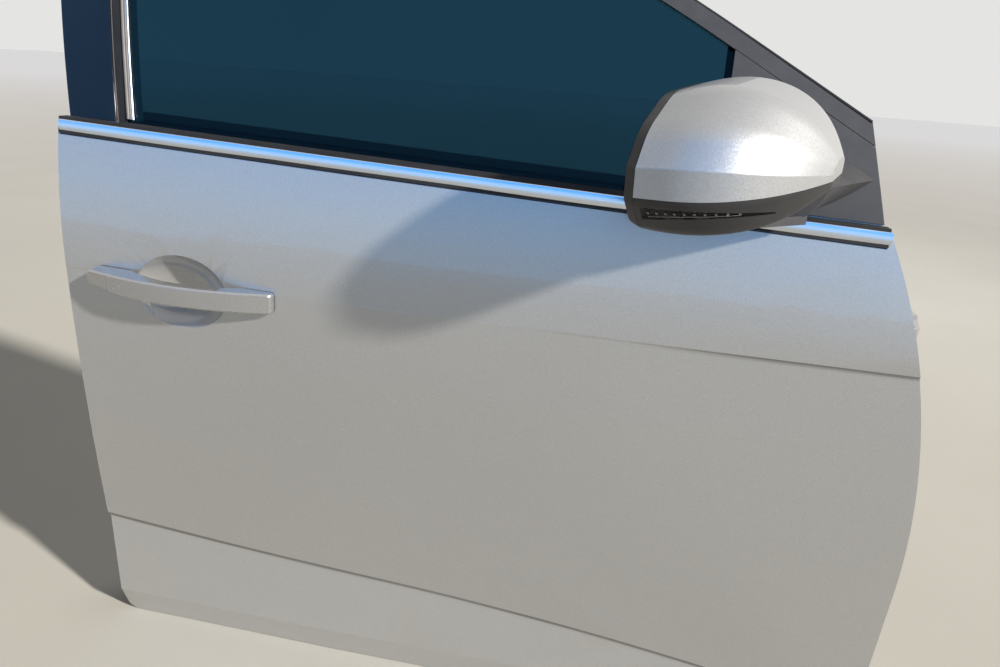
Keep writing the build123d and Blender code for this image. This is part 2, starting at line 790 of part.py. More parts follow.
# Handle: a bow that stands off the skin, with a lock cap at its rear end and two rubber pads under it
tilt = radians(HANDLE_TILT)
half = HANDLE_LENGTH / 2
handle_plane = Plane(
    origin=(HANDLE_X, plan_y(HANDLE_X) - HANDLE_SETBACK, HANDLE_Z),
    x_dir=(cos(tilt), 0, -sin(tilt)),
    z_dir=(sin(tilt), 0, cos(tilt)),
)
handle_front = Plane(origin=handle_plane.origin, x_dir=handle_plane.x_dir, z_dir=(0, -1, 0))
with BuildSketch(handle_front) as handle_outline:
    with BuildLine():
        FilletPolyline(
            (-half, HANDLE_END_RISE - HANDLE_HEIGHT / 2),
            (HANDLE_RISE_LENGTH - half, -HANDLE_HEIGHT / 2),
            (half, -HANDLE_HEIGHT / 2),
            (half, HANDLE_HEIGHT / 2),
            (-half, HANDLE_HEIGHT / 2 - 1),
            radius=[*HANDLE_REAR_CORNERS[:2], HANDLE_CORNER, HANDLE_CORNER, HANDLE_REAR_CORNERS[2]],
            close=True,
        )
    make_face()
with BuildPart() as handle_body:
    with BuildSketch(handle_plane):
        with BuildLine():
            ThreePointArc((-half, -HANDLE_PROUD_REAR), (0, -HANDLE_PROUD_MID), (half, -HANDLE_PROUD_FRONT))
            Line((half, -HANDLE_PROUD_FRONT), (half, -PAD_T))
            Line((half, -PAD_T), (half - FRONT_FOOT, -PAD_T))
            ThreePointArc(
                (half - FRONT_FOOT, -PAD_T),
                (0, GRIP_THICKNESS - HANDLE_PROUD_MID),
                (REAR_FOOT - half, -PAD_T),
            )
            Polyline((REAR_FOOT - half, -PAD_T), (-half, -PAD_T), (-half, -HANDLE_PROUD_REAR))
        make_face()
    extrude(amount=HANDLE_HEIGHT / 2, both=True)
    extrude(to_extrude=handle_outline.sketch, amount=REACH, mode=Mode.INTERSECT)
    chamfer(handle_body.faces().sort_by(Axis.Y)[0].edges(), HANDLE_EDGE)
cap_split = Plane(
    origin=handle_plane.from_local_coords((LOCK_CAP_LENGTH - half, 0, 0)),
    z_dir=handle_plane.x_dir,
)
with BuildPart() as handle_bar:
    add(handle_body.part)
    split(bisect_by=cap_split.offset(0.15), keep=Keep.TOP)
handle_bar.part.label = "handle_bar"
export_step(handle_bar.part, "parts/handle_bar.step")
with BuildPart() as handle_lock_cap:
    add(handle_body.part)
    split(bisect_by=cap_split.offset(-0.15), keep=Keep.BOTTOM)
handle_lock_cap.part.label = "handle_lock_cap"
export_step(handle_lock_cap.part, "parts/handle_lock_cap.step")
with BuildPart() as handle_pad_rear:
    with BuildSketch(handle_front.offset(HANDLE_SETBACK + PAD_SEAT)):
        with Locations((REAR_FOOT / 2 - half, 0)):
            Rectangle(REAR_FOOT, HANDLE_HEIGHT)
    extrude(amount=PAD_T - HANDLE_SETBACK - 2 * PAD_SEAT)
    extrude(to_extrude=handle_outline.sketch, amount=REACH, mode=Mode.INTERSECT)
handle_pad_rear.part.label = "handle_pad_rear"
export_step(handle_pad_rear.part, "parts/handle_pad_rear.step")
with BuildPart() as handle_pad_front:
    with BuildSketch(handle_front.offset(HANDLE_SETBACK + PAD_SEAT)):
        with Locations((half - FRONT_FOOT / 2, 0)):
            Rectangle(FRONT_FOOT, HANDLE_HEIGHT)
    extrude(amount=PAD_T - HANDLE_SETBACK - 2 * PAD_SEAT)
    extrude(to_extrude=handle_outline.sketch, amount=REACH, mode=Mode.INTERSECT)
handle_pad_front.part.label = "handle_pad_front"
export_step(handle_pad_front.part, "parts/handle_pad_front.step")

# Mirror foot: a wing with a sharp nose that grows out of the sail, and an arm to the boss the head folds on
fold = fold_point(0)
z_boss = FOLD_SPLIT_Z - FOOT_BOSS_HEIGHT
with BuildPart() as mirror_foot:
    for y, nose_x, nose_z, top_x, top_z, tail_x, tail_z, low_z in FOOT_SECTIONS:
        with BuildSketch(Plane(origin=(0, y, 0), x_dir=(1, 0, 0), z_dir=(0, -1, 0))):
            with BuildLine():
                Spline((nose_x, nose_z), (top_x, top_z), (tail_x, tail_z))
                Line((tail_x, tail_z), (tail_x, low_z))
                Line((tail_x, low_z), (top_x - 10, low_z))
                Spline((top_x - 10, low_z), ((nose_x + top_x) / 2, (nose_z + low_z) / 2), (nose_x, nose_z))
            make_face()
    loft()
    with BuildSketch(Plane.XY.offset(z_boss)):
        with Locations((fold.X, fold.Y)):
            Circle(FOLD_COLLAR_R)
        with BuildLine():
            Polyline(
                *FOOT_ARM,
                (fold.X - FOLD_COLLAR_R * 0.6, fold.Y + FOLD_COLLAR_R * 0.8),
                (fold.X + FOLD_COLLAR_R * 0.6, fold.Y - FOLD_COLLAR_R * 0.8),
                close=True,
            )
        make_face()
    extrude(amount=FOOT_BOSS_HEIGHT)
    with BuildSketch(Plane.XY.offset(FOLD_SPLIT_Z - 1)):
        with Locations((fold.X, fold.Y)):
            Circle(FOLD_PIN_R)
    extrude(amount=FOLD_PIN_LENGTH + 1)
    add(greenhouse_slab(-250.0, -0.2), mode=Mode.INTERSECT)
mirror_foot.part.label = "mirror_foot"
export_step(mirror_foot.part, "parts/mirror_foot.step")

# Mirror head: a painted cap over a dark lower case, with a pointed lamp strip let into the case
rear_plane = mirror_plane(0.0)
cap_plane = Plane(
    origin=rear_plane.from_local_coords((0, -CAP_EDGE_DROP, 0)),
    x_dir=rear_plane.x_dir + Vector(0, 0, tan(radians(CAP_EDGE_ROLL))),
    z_dir=Vector(0, 0, 1)
    - rear_plane.z_dir * tan(radians(CAP_EDGE_PITCH))
    - rear_plane.x_dir * tan(radians(CAP_EDGE_ROLL)),
)
with BuildPart() as mirror_cap:
    add(mirror_body(0.0))
    split(bisect_by=cap_plane.offset(0.15), keep=Keep.TOP)
mirror_cap.part.label = "mirror_cap"
export_step(mirror_cap.part, "parts/mirror_cap.step")
with BuildPart() as mirror_lamp:
    add(lens_block(0.0))
    add(mirror_body(0.0), mode=Mode.INTERSECT)
    add(mirror_body(MIRROR_SHELL_T), mode=Mode.SUBTRACT)
mirror_lamp.part.label = "mirror_lamp"
export_step(mirror_lamp.part, "parts/mirror_lamp.step")
with BuildPart() as lamp_pocket:
    add(lens_block(0.2))
    add(mirror_body(MIRROR_SHELL_T + 0.2), mode=Mode.SUBTRACT)
with BuildPart() as mirror_case:
    add(mirror_body(0.0))
    split(bisect_by=cap_plane.offset(-0.15), keep=Keep.BOTTOM)
    add(lamp_pocket.part, mode=Mode.SUBTRACT)
    with BuildSketch(Plane.XY.offset(FOLD_SPLIT_Z + FOLD_FACE_GAP)):
        with Locations((fold.X, fold.Y)):
            Circle(FOLD_COLLAR_R + 1.0)
    extrude(amount=-20.0, mode=Mode.SUBTRACT)
    with BuildSketch(Plane.XY.offset(FOLD_SPLIT_Z + FOLD_FACE_GAP)):
        with Locations((fold.X, fold.Y)):
            Circle(FOLD_COLLAR_R)
    extrude(amount=20.0)
    with BuildSketch(Plane.XY.offset(FOLD_SPLIT_Z - 5)):
        with Locations((fold.X, fold.Y)):
            Circle(FOLD_PIN_R + FOLD_RUNNING_GAP)
    extrude(amount=FOLD_PIN_LENGTH + 5.5, mode=Mode.SUBTRACT)
mirror_case.part.label = "mirror_case"
export_step(mirror_case.part, "parts/mirror_case.step")
with BuildPart() as mirror_bezel:
    add(mirror_outline(mirror_plane(-0.2)))
    add(mirror_outline(mirror_plane(-0.2 - BEZEL_DEPTH), BEZEL_REAR_SIZE))
    loft()
    recess = mirror_outline(mirror_plane(-0.2 - BEZEL_FLOOR_T), inset=BEZEL_RIM)
    extrude(to_extrude=recess, amount=BEZEL_DEPTH, dir=-rear_plane.z_dir, mode=Mode.SUBTRACT)
mirror_bezel.part.label = "mirror_bezel"
export_step(mirror_bezel.part, "parts/mirror_bezel.step")
with BuildPart() as mirror_glass:
    pane = mirror_outline(mirror_plane(-0.4 - BEZEL_FLOOR_T), inset=BEZEL_RIM + 0.8)
    extrude(to_extrude=pane, amount=MIRROR_GLASS_T, dir=-rear_plane.z_dir)
mirror_glass.part.label = "mirror_glass"
export_step(mirror_glass.part, "parts/mirror_glass.step")

# Hinges, upper and lower: a leaf on the pillar with two ears and a fixed pin, and a leaf on the door between them
for name, z in (("upper", Z_HINGE), ("lower", -Z_HINGE)):
    with BuildPart() as pillar_leaf:
        with BuildSketch(Plane.YZ.offset(-LEAF_T)):
            with Locations((0, z)):
                RectangleRounded(BOLT_SPACING_Y + 2 * LEAF_EDGE, 2 * LEAF_HALF_HEIGHT, 6.0)
        extrude(amount=LEAF_T)
        for side in (-1, 1):
            with BuildSketch(Plane.XY.offset(z + side * (KNUCKLE_HALF + KNUCKLE_GAP + EAR_T / 2))):
                with Locations((HINGE_AXIS_X, HINGE_AXIS_Y)):
                    Circle(KNUCKLE_R)
                with BuildLine():
                    Polyline(
                        (HINGE_AXIS_X, HINGE_AXIS_Y - KNUCKLE_R),
                        (HINGE_AXIS_X + 9, HINGE_AXIS_Y - 4),
                        (0, -BOLT_SPACING_Y / 2 - LEAF_EDGE + 4),
                        (0, -BOLT_SPACING_Y / 2 - 2),
                        (-LEAF_T - 3, -BOLT_SPACING_Y / 2 - 2),
                        (HINGE_AXIS_X - 9, HINGE_AXIS_Y + 4),
                        close=True,
                    )
                make_face()
            extrude(amount=EAR_T / 2, both=True)
        with BuildSketch(Plane.YZ.offset(-LEAF_T)):
            with Locations((-BOLT_SPACING_Y / 2, z), (BOLT_SPACING_Y / 2, z)):
                Circle(BOLT_HOLE_R)
        extrude(amount=LEAF_T, mode=Mode.SUBTRACT)
        pin_half = KNUCKLE_HALF + KNUCKLE_GAP + EAR_T
        with BuildSketch(Plane.XY.offset(z)):
            with Locations((HINGE_AXIS_X, HINGE_AXIS_Y)):
                Circle(PIN_R)
        extrude(amount=pin_half, both=True)
        with BuildSketch(Plane.XY.offset(z + pin_half)):
            with Locations((HINGE_AXIS_X, HINGE_AXIS_Y)):
                Circle(PIN_R + 2.5)
        extrude(amount=3.0)
    pillar_leaf.part.label = f"hinge_pillar_leaf_{name}"
    export_step(pillar_leaf.part, f"parts/hinge_pillar_leaf_{name}.step")

    with BuildPart() as door_leaf:
        x_plate = X_FRONT_WALL + 0.1
        box_between(
            (x_plate, x_plate + LEAF_T),
            (HINGE_AXIS_Y - DOOR_LEAF_OUTBOARD, HINGE_AXIS_Y + DOOR_LEAF_LENGTH),
            (z - LEAF_HALF_HEIGHT, z + LEAF_HALF_HEIGHT),
        )
        fillet(door_leaf.edges().filter_by(Axis.X), 6.0)
        box_between(
            (x_plate + LEAF_T - 1, HINGE_AXIS_X),
            (HINGE_AXIS_Y - DOOR_LEAF_OUTBOARD, HINGE_AXIS_Y + 4),
            (z - KNUCKLE_HALF, z + KNUCKLE_HALF),
        )
        with BuildSketch(Plane.XY.offset(z)):
            with Locations((HINGE_AXIS_X, HINGE_AXIS_Y)):
                Circle(KNUCKLE_R)
        extrude(amount=KNUCKLE_HALF, both=True)
        with BuildSketch(Plane.XY.offset(z)):
            with Locations((HINGE_AXIS_X, HINGE_AXIS_Y)):
                Circle(PIN_R + PIN_RUNNING_GAP)
        extrude(amount=KNUCKLE_HALF + 1, both=True, mode=Mode.SUBTRACT)
        with BuildSketch(Plane.YZ.offset(x_plate + LEAF_T - 1)):
            with Locations((HINGE_AXIS_Y + 24, z), (HINGE_AXIS_Y + 52, z)):
                RegularPolygon(7.5, 6)
        extrude(amount=6.0)
    door_leaf.part.label = f"hinge_door_leaf_{name}"
    export_step(door_leaf.part, f"parts/hinge_door_leaf_{name}.step")

# Latch: a case behind the shut face with the mouth that takes the striker
x_shut = X_REAR + WALL_REAR_INSET + INNER_T + 0.1
with BuildPart() as latch:
    box_between((x_shut, x_shut + 20), (-62.0, Y_FLOOR - INNER_T - 0.2), (LATCH_Z - 42, LATCH_Z + 46))
    box_between((x_shut + 20, x_shut + 62), (-52.0, -18.0), (LATCH_Z - 30, LATCH_Z + 52))
    fillet(latch.edges().filter_by(Axis.X), 4.0)
    box_between(
        (x_shut - 5, x_shut + 14),
        (Y_STRIKER_END, Y_FLOOR + 5),
        (LATCH_Z - LATCH_SLOT / 2, LATCH_Z + LATCH_SLOT / 2),
        mode=Mode.SUBTRACT,
    )
latch.part.label = "latch"
export_step(latch.part, "parts/latch.step")

# Weather seal that runs round the step of the inner panel
with BuildPart() as weather_seal:
    add(side_slab(LEDGE_DEPTH + 0.2, LEDGE_DEPTH + SEAL_HEIGHT))
    cut_to(shut_face(-8.0))
    cut_to(shut_face(-0.5, top_drop=-20.0), mode=Mode.SUBTRACT)
    cut_to(above_waist(-SEAL_TOP_DROP), mode=Mode.SUBTRACT)
weather_seal.part.label = "weather_seal"
export_step(weather_seal.part, "parts/weather_seal.step")

# Inside trim: a moulded card over the deep box, a roll along the waist, an armrest and a door pocket
y_card = Y_FLOOR + CARD_BACK
y_seat = Y_TRIM + CARD_BACK
with BuildPart() as pocket:
    with BuildSketch(Plane.XZ.offset(-Y_TRIM + 1)):
        with BuildLine():
            FilletPolyline(
                (POCKET_X[0], POCKET_Z[1]),
                (POCKET_X[0], POCKET_Z[0]),
                (POCKET_X[1], POCKET_Z[0]),
                (POCKET_X[1], POCKET_Z[1]),
                radius=[0, POCKET_CORNER, POCKET_CORNER, 0],
                close=True,
            )
        make_face()
    extrude(amount=-(Y_POCKET - Y_TRIM + 1))
    chamfer(pocket.faces().sort_by(Axis.Y)[-1].edges().sort_by(Axis.Z)[:-1], 2.5)
    with BuildSketch(Plane.XZ.offset(-Y_TRIM)):
        with BuildLine():
            FilletPolyline(
                (POCKET_X[0] + TRIM_WALL, POCKET_Z[1] + 1),
                (POCKET_X[0] + TRIM_WALL, POCKET_Z[0] + TRIM_WALL),
                (POCKET_X[1] - TRIM_WALL, POCKET_Z[0] + TRIM_WALL),
                (POCKET_X[1] - TRIM_WALL, POCKET_Z[1] + 1),
                radius=[0, POCKET_CORNER - TRIM_WALL, POCKET_CORNER - TRIM_WALL, 0],
                close=True,
            )
        make_face()
    extrude(amount=-(Y_POCKET - TRIM_WALL - Y_TRIM), mode=Mode.SUBTRACT)
with BuildPart() as door_card:
    with BuildSketch(Plane.XZ.offset(-y_card)):
        add(shut_face(1.0, top_drop=ROLL_DROP + 0.5))
    extrude(amount=-(Y_TRIM - y_card))
    chamfer(door_card.faces().sort_by(Axis.Y)[-1].edges().sort_by(Axis.Z)[:-1], CARD_EDGE)
    with BuildSketch(Plane.XZ.offset(-y_card)):
        add(shut_face(1.0 + TRIM_WALL, top_drop=ROLL_DROP + 0.5 + TRIM_WALL))
    extrude(amount=-(Y_TRIM - y_card - TRIM_WALL - PANEL_RECESS), mode=Mode.SUBTRACT)
    with BuildSketch(Plane.XZ.offset(-Y_TRIM + PANEL_RECESS)):
        add(waist_band(-PANEL_DROP[1], -PANEL_DROP[0], *PANEL_X))
        fillet(vertices(), POCKET_CORNER)
    extrude(amount=-PANEL_RECESS, mode=Mode.SUBTRACT)
    add(pocket.part)
door_card.part.label = "door_card"
export_step(door_card.part, "parts/door_card.step")
with BuildPart() as roll_shelf:
    add(greenhouse_slab(FRAME_BACK + 0.3, 200.0))
    keep_y(-200.0, ROLL_Y - ROLL_EDGE)
    cut_to(waist_band(-8.0, 4.0, X_REAR + WALL_REAR_INSET + 3, X_WAIST_FRONT - 50.0))
with BuildPart() as waist_roll:
    with BuildSketch(Plane.XZ.offset(-y_card)):
        add(waist_band(-ROLL_DROP, 4.0, X_REAR + WALL_REAR_INSET + 3, X_WAIST_FRONT - 50.0))
    extrude(amount=-(ROLL_Y - y_card))
    fillet(waist_roll.faces().sort_by(Axis.Y)[-1].edges().sort_by(Axis.Z)[-1], ROLL_EDGE)
    add(roll_shelf.part)
waist_roll.part.label = "waist_roll"
export_step(waist_roll.part, "parts/waist_roll.step")
with BuildPart() as sail_lining:
    add(greenhouse_slab(FRAME_BACK + 0.3, FRAME_BACK + 3.3))
    with BuildSketch(Plane.XZ):
        add(sail_area(4.0))
        add(frame_face(4.0), mode=Mode.INTERSECT)
        add(above_waist(4.5), mode=Mode.INTERSECT)
    extrude(amount=REACH, both=True, mode=Mode.INTERSECT)
sail_lining.part.label = "sail_lining"
export_step(sail_lining.part, "parts/sail_lining.step")
with BuildPart() as armrest:
    with BuildSketch(Plane.XY.offset(ARMREST_Z[0])):
        with BuildLine():
            FilletPolyline(
                (ARMREST_X[0], y_seat),
                (ARMREST_X[1], y_seat),
                (ARMREST_X[1], Y_ARMREST),
                (CUP_WELL_X[0] - 40.0, Y_ARMREST),
                (ARMREST_X[0], ARMREST_NECK),
                radius=[0, 0, 14.0, 300.0, 24.0],
                close=True,
            )
        make_face()
    extrude(amount=ARMREST_Z[1] - ARMREST_Z[0])
    top_edges = armrest.faces().sort_by(Axis.Z)[-1].edges().sort_by(Axis.Y)[1:]
    chamfer(top_edges, ARMREST_EDGE)
    well_y = (y_seat + CUP_WELL_WALL, Y_ARMREST - CUP_WELL_WALL)
    with BuildSketch(Plane.XY.offset(ARMREST_Z[1] + 1)):
        with Locations((sum(CUP_WELL_X) / 2, sum(well_y) / 2)):
            RectangleRounded(CUP_WELL_X[1] - CUP_WELL_X[0], well_y[1] - well_y[0], 8.0)
    extrude(amount=-CUP_WELL_DEPTH - 1, mode=Mode.SUBTRACT)
armrest.part.label = "armrest"
export_step(armrest.part, "parts/armrest.step")
with BuildPart() as speaker_grille:
    with BuildSketch(Plane.XZ.offset(-y_seat)):
        with Locations((SPEAKER_X, SPEAKER_Z)):
            Circle(SPEAKER_R)
    extrude(amount=-SPEAKER_T)
    chamfer(speaker_grille.faces().sort_by(Axis.Y)[-1].edges(), 2.0)
    with BuildSketch(Plane.XZ.offset(-y_seat - SPEAKER_T + 1.5)):
        with Locations((SPEAKER_X, SPEAKER_Z)):
            Circle(SPEAKER_R - SPEAKER_RIM)
            Circle(SPEAKER_R - SPEAKER_RIM - 2.5, mode=Mode.SUBTRACT)
    extrude(amount=-2.0, mode=Mode.SUBTRACT)
speaker_grille.part.label = "speaker_grille"
export_step(speaker_grille.part, "parts/speaker_grille.step")
with BuildPart() as release_bezel:
    with BuildSketch(Plane.XZ.offset(-y_seat)):
        with Locations((RELEASE_X, RELEASE_Z)):
            RectangleRounded(RELEASE_LENGTH, RELEASE_HEIGHT, 12.0)
    extrude(amount=-12.0)
    chamfer(release_bezel.faces().sort_by(Axis.Y)[-1].edges(), 1.5)
    with BuildSketch(Plane.XZ.offset(-y_seat - 3.8)):
        with Locations((RELEASE_X, RELEASE_Z)):
            RectangleRounded(RELEASE_LENGTH - 2 * RELEASE_RIM, RELEASE_HEIGHT - 2 * RELEASE_RIM + 2, 9.0)
    extrude(amount=-20.0, mode=Mode.SUBTRACT)
release_bezel.part.label = "release_bezel"
export_step(release_bezel.part, "parts/release_bezel.step")
with BuildPart() as release_lever:
    with BuildSketch(Plane.XZ.offset(-y_seat - 4.0)):
        with Locations((RELEASE_X + 6, RELEASE_Z)):
            RectangleRounded(RELEASE_LENGTH - 32.0, RELEASE_HEIGHT - 22.0, 8.0)
    extrude(amount=-9.0)
    chamfer(release_lever.faces().sort_by(Axis.Y)[-1].edges(), 2.0)
release_lever.part.label = "release_lever"
export_step(release_lever.part, "parts/release_lever.step")
with BuildPart() as window_switches:
    switch_y = (y_seat + Y_ARMREST) / 2 - 2.0
    with BuildSketch(Plane.XY.offset(ARMREST_Z[1] + 0.2)):
        with Locations((SWITCH_X, switch_y)):
            RectangleRounded(SWITCH_LENGTH, SWITCH_WIDTH, 6.0)
    extrude(amount=SWITCH_PLATE_T)
    with BuildSketch(Plane.XY.offset(ARMREST_Z[1] + 0.2 + SWITCH_PLATE_T)):
        with Locations((SWITCH_X, switch_y)):
            with GridLocations(ROCKER_LENGTH + 4.0, ROCKER_WIDTH + 3.0, 2, 2):
                Rectangle(ROCKER_LENGTH, ROCKER_WIDTH)
    extrude(amount=ROCKER_RISE, taper=20.0)
window_switches.part.label = "window_switches"
export_step(window_switches.part, "parts/window_switches.step")
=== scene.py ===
"""Dresses the right-hand front door of an estate car: silver paint, tinted glass, polished waist strip, grained
dark plastics, a creased door mirror with its lamp strip, a bowed pull handle, seals, latch and inside trim.

Metres, in the door's own frame: +X to the front of the car, +Y into the car, +Z up, with the origin at the
centre of the hinge bolts."""

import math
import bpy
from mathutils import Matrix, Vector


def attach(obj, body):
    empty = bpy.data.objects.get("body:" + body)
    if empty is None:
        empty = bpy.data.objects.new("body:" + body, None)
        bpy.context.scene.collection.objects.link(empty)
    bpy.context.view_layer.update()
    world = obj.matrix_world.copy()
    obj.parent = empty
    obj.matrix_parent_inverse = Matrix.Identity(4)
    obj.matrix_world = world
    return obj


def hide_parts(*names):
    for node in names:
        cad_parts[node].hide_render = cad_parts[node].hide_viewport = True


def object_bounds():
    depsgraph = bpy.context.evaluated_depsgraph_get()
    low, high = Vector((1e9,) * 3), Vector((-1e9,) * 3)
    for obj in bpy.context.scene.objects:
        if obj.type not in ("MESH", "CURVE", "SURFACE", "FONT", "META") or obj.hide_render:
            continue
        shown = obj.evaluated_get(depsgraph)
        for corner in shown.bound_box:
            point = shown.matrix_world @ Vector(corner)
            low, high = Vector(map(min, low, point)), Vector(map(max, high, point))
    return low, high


bl_info = {
    "name": "Estate Car Front Door",
    "version": (1, 0, 0),
    "blender": (4, 5, 0),
    "location": "View3D > Sidebar > Door",
    "description": "Finishes a car's front door with paint, glass, mirror, handle and trim",
    "category": "Object",
}

import bpy
from mathutils import Matrix, Vector
from mathutils.bvhtree import BVHTree

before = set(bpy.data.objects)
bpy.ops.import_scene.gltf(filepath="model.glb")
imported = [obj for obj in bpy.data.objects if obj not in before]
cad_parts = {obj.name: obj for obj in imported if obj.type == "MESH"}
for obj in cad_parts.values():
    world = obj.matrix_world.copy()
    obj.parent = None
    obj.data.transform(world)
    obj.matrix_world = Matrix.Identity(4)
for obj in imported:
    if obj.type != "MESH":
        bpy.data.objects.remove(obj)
CAD_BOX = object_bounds()
COLOUR = {"subtype": "COLOR", "size": 4, "min": 0.0, "max": 1.0}

# The view of the photograph: where its camera stood, which way it faced, and its lens on a 36 mm sensor
CAMERA_AT = (-0.334, -0.881, 0.439)
CAMERA_RIGHT = (0.9804, 0.1840, 0.0708)
CAMERA_UP = (-0.1284, 0.3232, 0.9376)
CAMERA_LENS = 26.3

# The key light: where it comes from, read from the mirror's shadow on the door, and its width in degrees
KEY_FROM = (0.80, -0.37, 0.466)
KEY_WIDTH = 3
KEY_POWER = 5.7
KEY_COLOUR = (1.0, 0.945, 0.87)

# The weak light behind the door, and what it points at
BACK_LIGHT_AT = (0.9, 2.6, 2.6)
BACK_LIGHT_TO = (-0.5, 0.0, 0.1)
BACK_LIGHT_SIZE = 2.0
BACK_LIGHT_POWER = 40.0

# The world's strength on rough faces, and what is added where it is seen directly, mirrored or through glass
WORLD_FILL = 0.20
WORLD_SEEN = 0.58

# The card that stands for the sky in reflections: X and Y of its middle, its width and height, its strength
CARD_AT = (-0.6, -5.0)
CARD_SIZE = (13.0, 8.2)
CARD_GLOW = 1.5

# The upper crease of the side, as its height at x = 0 and its slope along x
UPPER_CREASE = (0.16625, -0.00772)

# The lower crease of the side, as (x, z) from the rear to the front
LOWER_CREASE = ((-1.03, -0.190), (-0.74, -0.211), (-0.45, -0.230), (-0.17, -0.268), (-0.03, -0.297))

# Added to the lower crease's x and z, which brings both within the 0 to 1 that a curve node takes
CREASE_SHIFT = (1.03, 1.0)

# How far the painted lighter band low down and the painted shade under the creases cover the paint
LOW_BAND_LIGHT_SHARE = 0.16
CREASE_SHADE_SHARE = 0.82

# The bright strip and the lip under it: how far below the waist line each runs, and how thick it is
STRIP_BELOW = 0.0086
STRIP_HALF_HEIGHT = 0.0079
STRIP_HALF_DEPTH = 0.0020
LIP_BELOW = 0.0174
LIP_RADIUS = 0.0006

# The lights in the mirror's lamp strip: their number, the depth of the first, and the step
LIGHTS = 10
FIRST_LIGHT = 0.012
LIGHT_STEP = 0.0078

# The touch outline on the handle: X and Z of its middle, half its sizes, and how square it is (1 is an oval)
TOUCH_CENTRE = (-0.9130, 0.1650)
TOUCH_HALF = (0.0052, 0.0032)
TOUCH_SQUARENESS = 0.45

# The stitches on the armrest, from the rear
STITCHES = 92
FIRST_STITCH = -0.872
STITCH_STEP = 0.006
STITCH_Z = 0.0821

# Radius and height of the latch screws, and their (y, z) on the rear edge
SCREW = (0.0062, 0.0032)
SCREWS_AT = ((-0.046, 0.094), (-0.046, 0.046), (0.004, 0.100))

# Radius and height of the rubber plugs, and (start, +1 or -1 along X) of the lines that find their seats
PLUG = (0.011, 0.003)
PLUG_LINES = (((-1.2, -0.020, -0.080), 1), ((-1.2, -0.020, 0.215), 1), ((0.2, -0.020, -0.030), -1))

# The finishes, by name, once the colours are known
FINISH = {}


# Helpers for materials


def fresh_material(name):
    """A new material with an empty shader, and its tree and shader node."""
    material = bpy.data.materials.new(name)
    material.use_nodes = True
    tree = material.node_tree
    return material, tree, tree.nodes["Principled BSDF"]


def set_shader(shader, **values):
    """Sets shader sockets by name, with underscores for spaces."""
    for key, value in values.items():
        shader.inputs[key.replace("_", " ").title().replace("Ior", "IOR")].default_value = value


def object_coords(tree, scale=(1, 1, 1)):
    """The object's own coordinates, in metres, stretched by scale."""
    coords = tree.nodes.new("ShaderNodeTexCoord")
    mapping = tree.nodes.new("ShaderNodeMapping")
    mapping.inputs["Scale"].default_value = scale
    tree.links.new(coords.outputs["Object"], mapping.inputs["Vector"])
    return mapping.outputs["Vector"]


def noise(tree, vector, scale, detail=3.0, roughness=0.55):
    """A grey noise pattern with scale features to the metre."""
    node = tree.nodes.new("ShaderNodeTexNoise")
    node.inputs["Scale"].default_value = scale
    node.inputs["Detail"].default_value = detail
    node.inputs["Roughness"].default_value = roughness
    tree.links.new(vector, node.inputs["Vector"])
    return node.outputs["Fac"]


def cells(tree, vector, scale, output="Color"):
    """A pattern of random cells with scale cells to the metre."""
    node = tree.nodes.new("ShaderNodeTexVoronoi")
    node.inputs["Scale"].default_value = scale
    tree.links.new(vector, node.inputs["Vector"])
    return node.outputs[output]


def ramp(tree, value, stops):
    """Colours, or greys given as plain numbers, along a value, as (place, colour) stops."""
    node = tree.nodes.new("ShaderNodeValToRGB")
    band = node.color_ramp
    while len(band.elements) < len(stops):
        band.elements.new(0.5)
    for element, (place, colour) in zip(band.elements, stops):
        if isinstance(colour, float):
            colour = (colour,) * 3
        element.position = place
        element.color = (*colour, 1)[:4]
    tree.links.new(value, node.inputs["Fac"])
    return node.outputs["Color"]


def bump(tree, height, shader, strength, distance):
    """Raises the surface by a height pattern, distance metres at most."""
    node = tree.nodes.new("ShaderNodeBump")
    node.inputs["Strength"].default_value = strength
    node.inputs["Distance"].default_value = distance
    tree.links.new(height, node.inputs["Height"])
    tree.links.new(node.outputs["Normal"], shader.inputs["Normal"])


def shade(colour, factor):
    """A colour made darker or lighter by a factor."""
    return tuple(min(1.0, channel * factor) for channel in colour[:3]) + (1,)


def math_node(tree, operation, *values):
    """One sum over sockets or numbers."""
    node = tree.nodes.new("ShaderNodeMath")
    node.operation = operation
    for socket, value in zip(node.inputs, values):
        if isinstance(value, (int, float)):
            socket.default_value = value
        else:
            tree.links.new(value, socket)
    return node.outputs[0]


def vector_node(tree, operation, *values):
    """One sum over vectors, which are sockets or tuples. Gives the node."""
    node = tree.nodes.new("ShaderNodeVectorMath")
    node.operation = operation
    for socket, value in zip(node.inputs, values):
        if isinstance(value, tuple):
            socket.default_value = value
        else:
            tree.links.new(value, socket)
    return node


def mixed(tree, share, under, over):
    """A pattern with a plain colour laid over a share of it."""
    node = tree.nodes.new("ShaderNodeMix")
    node.data_type = "RGBA"
    node.inputs["B"].default_value = over
    tree.links.new(under, node.inputs["A"])
    tree.links.new(share, node.inputs["Factor"])
    return node.outputs["Result"]


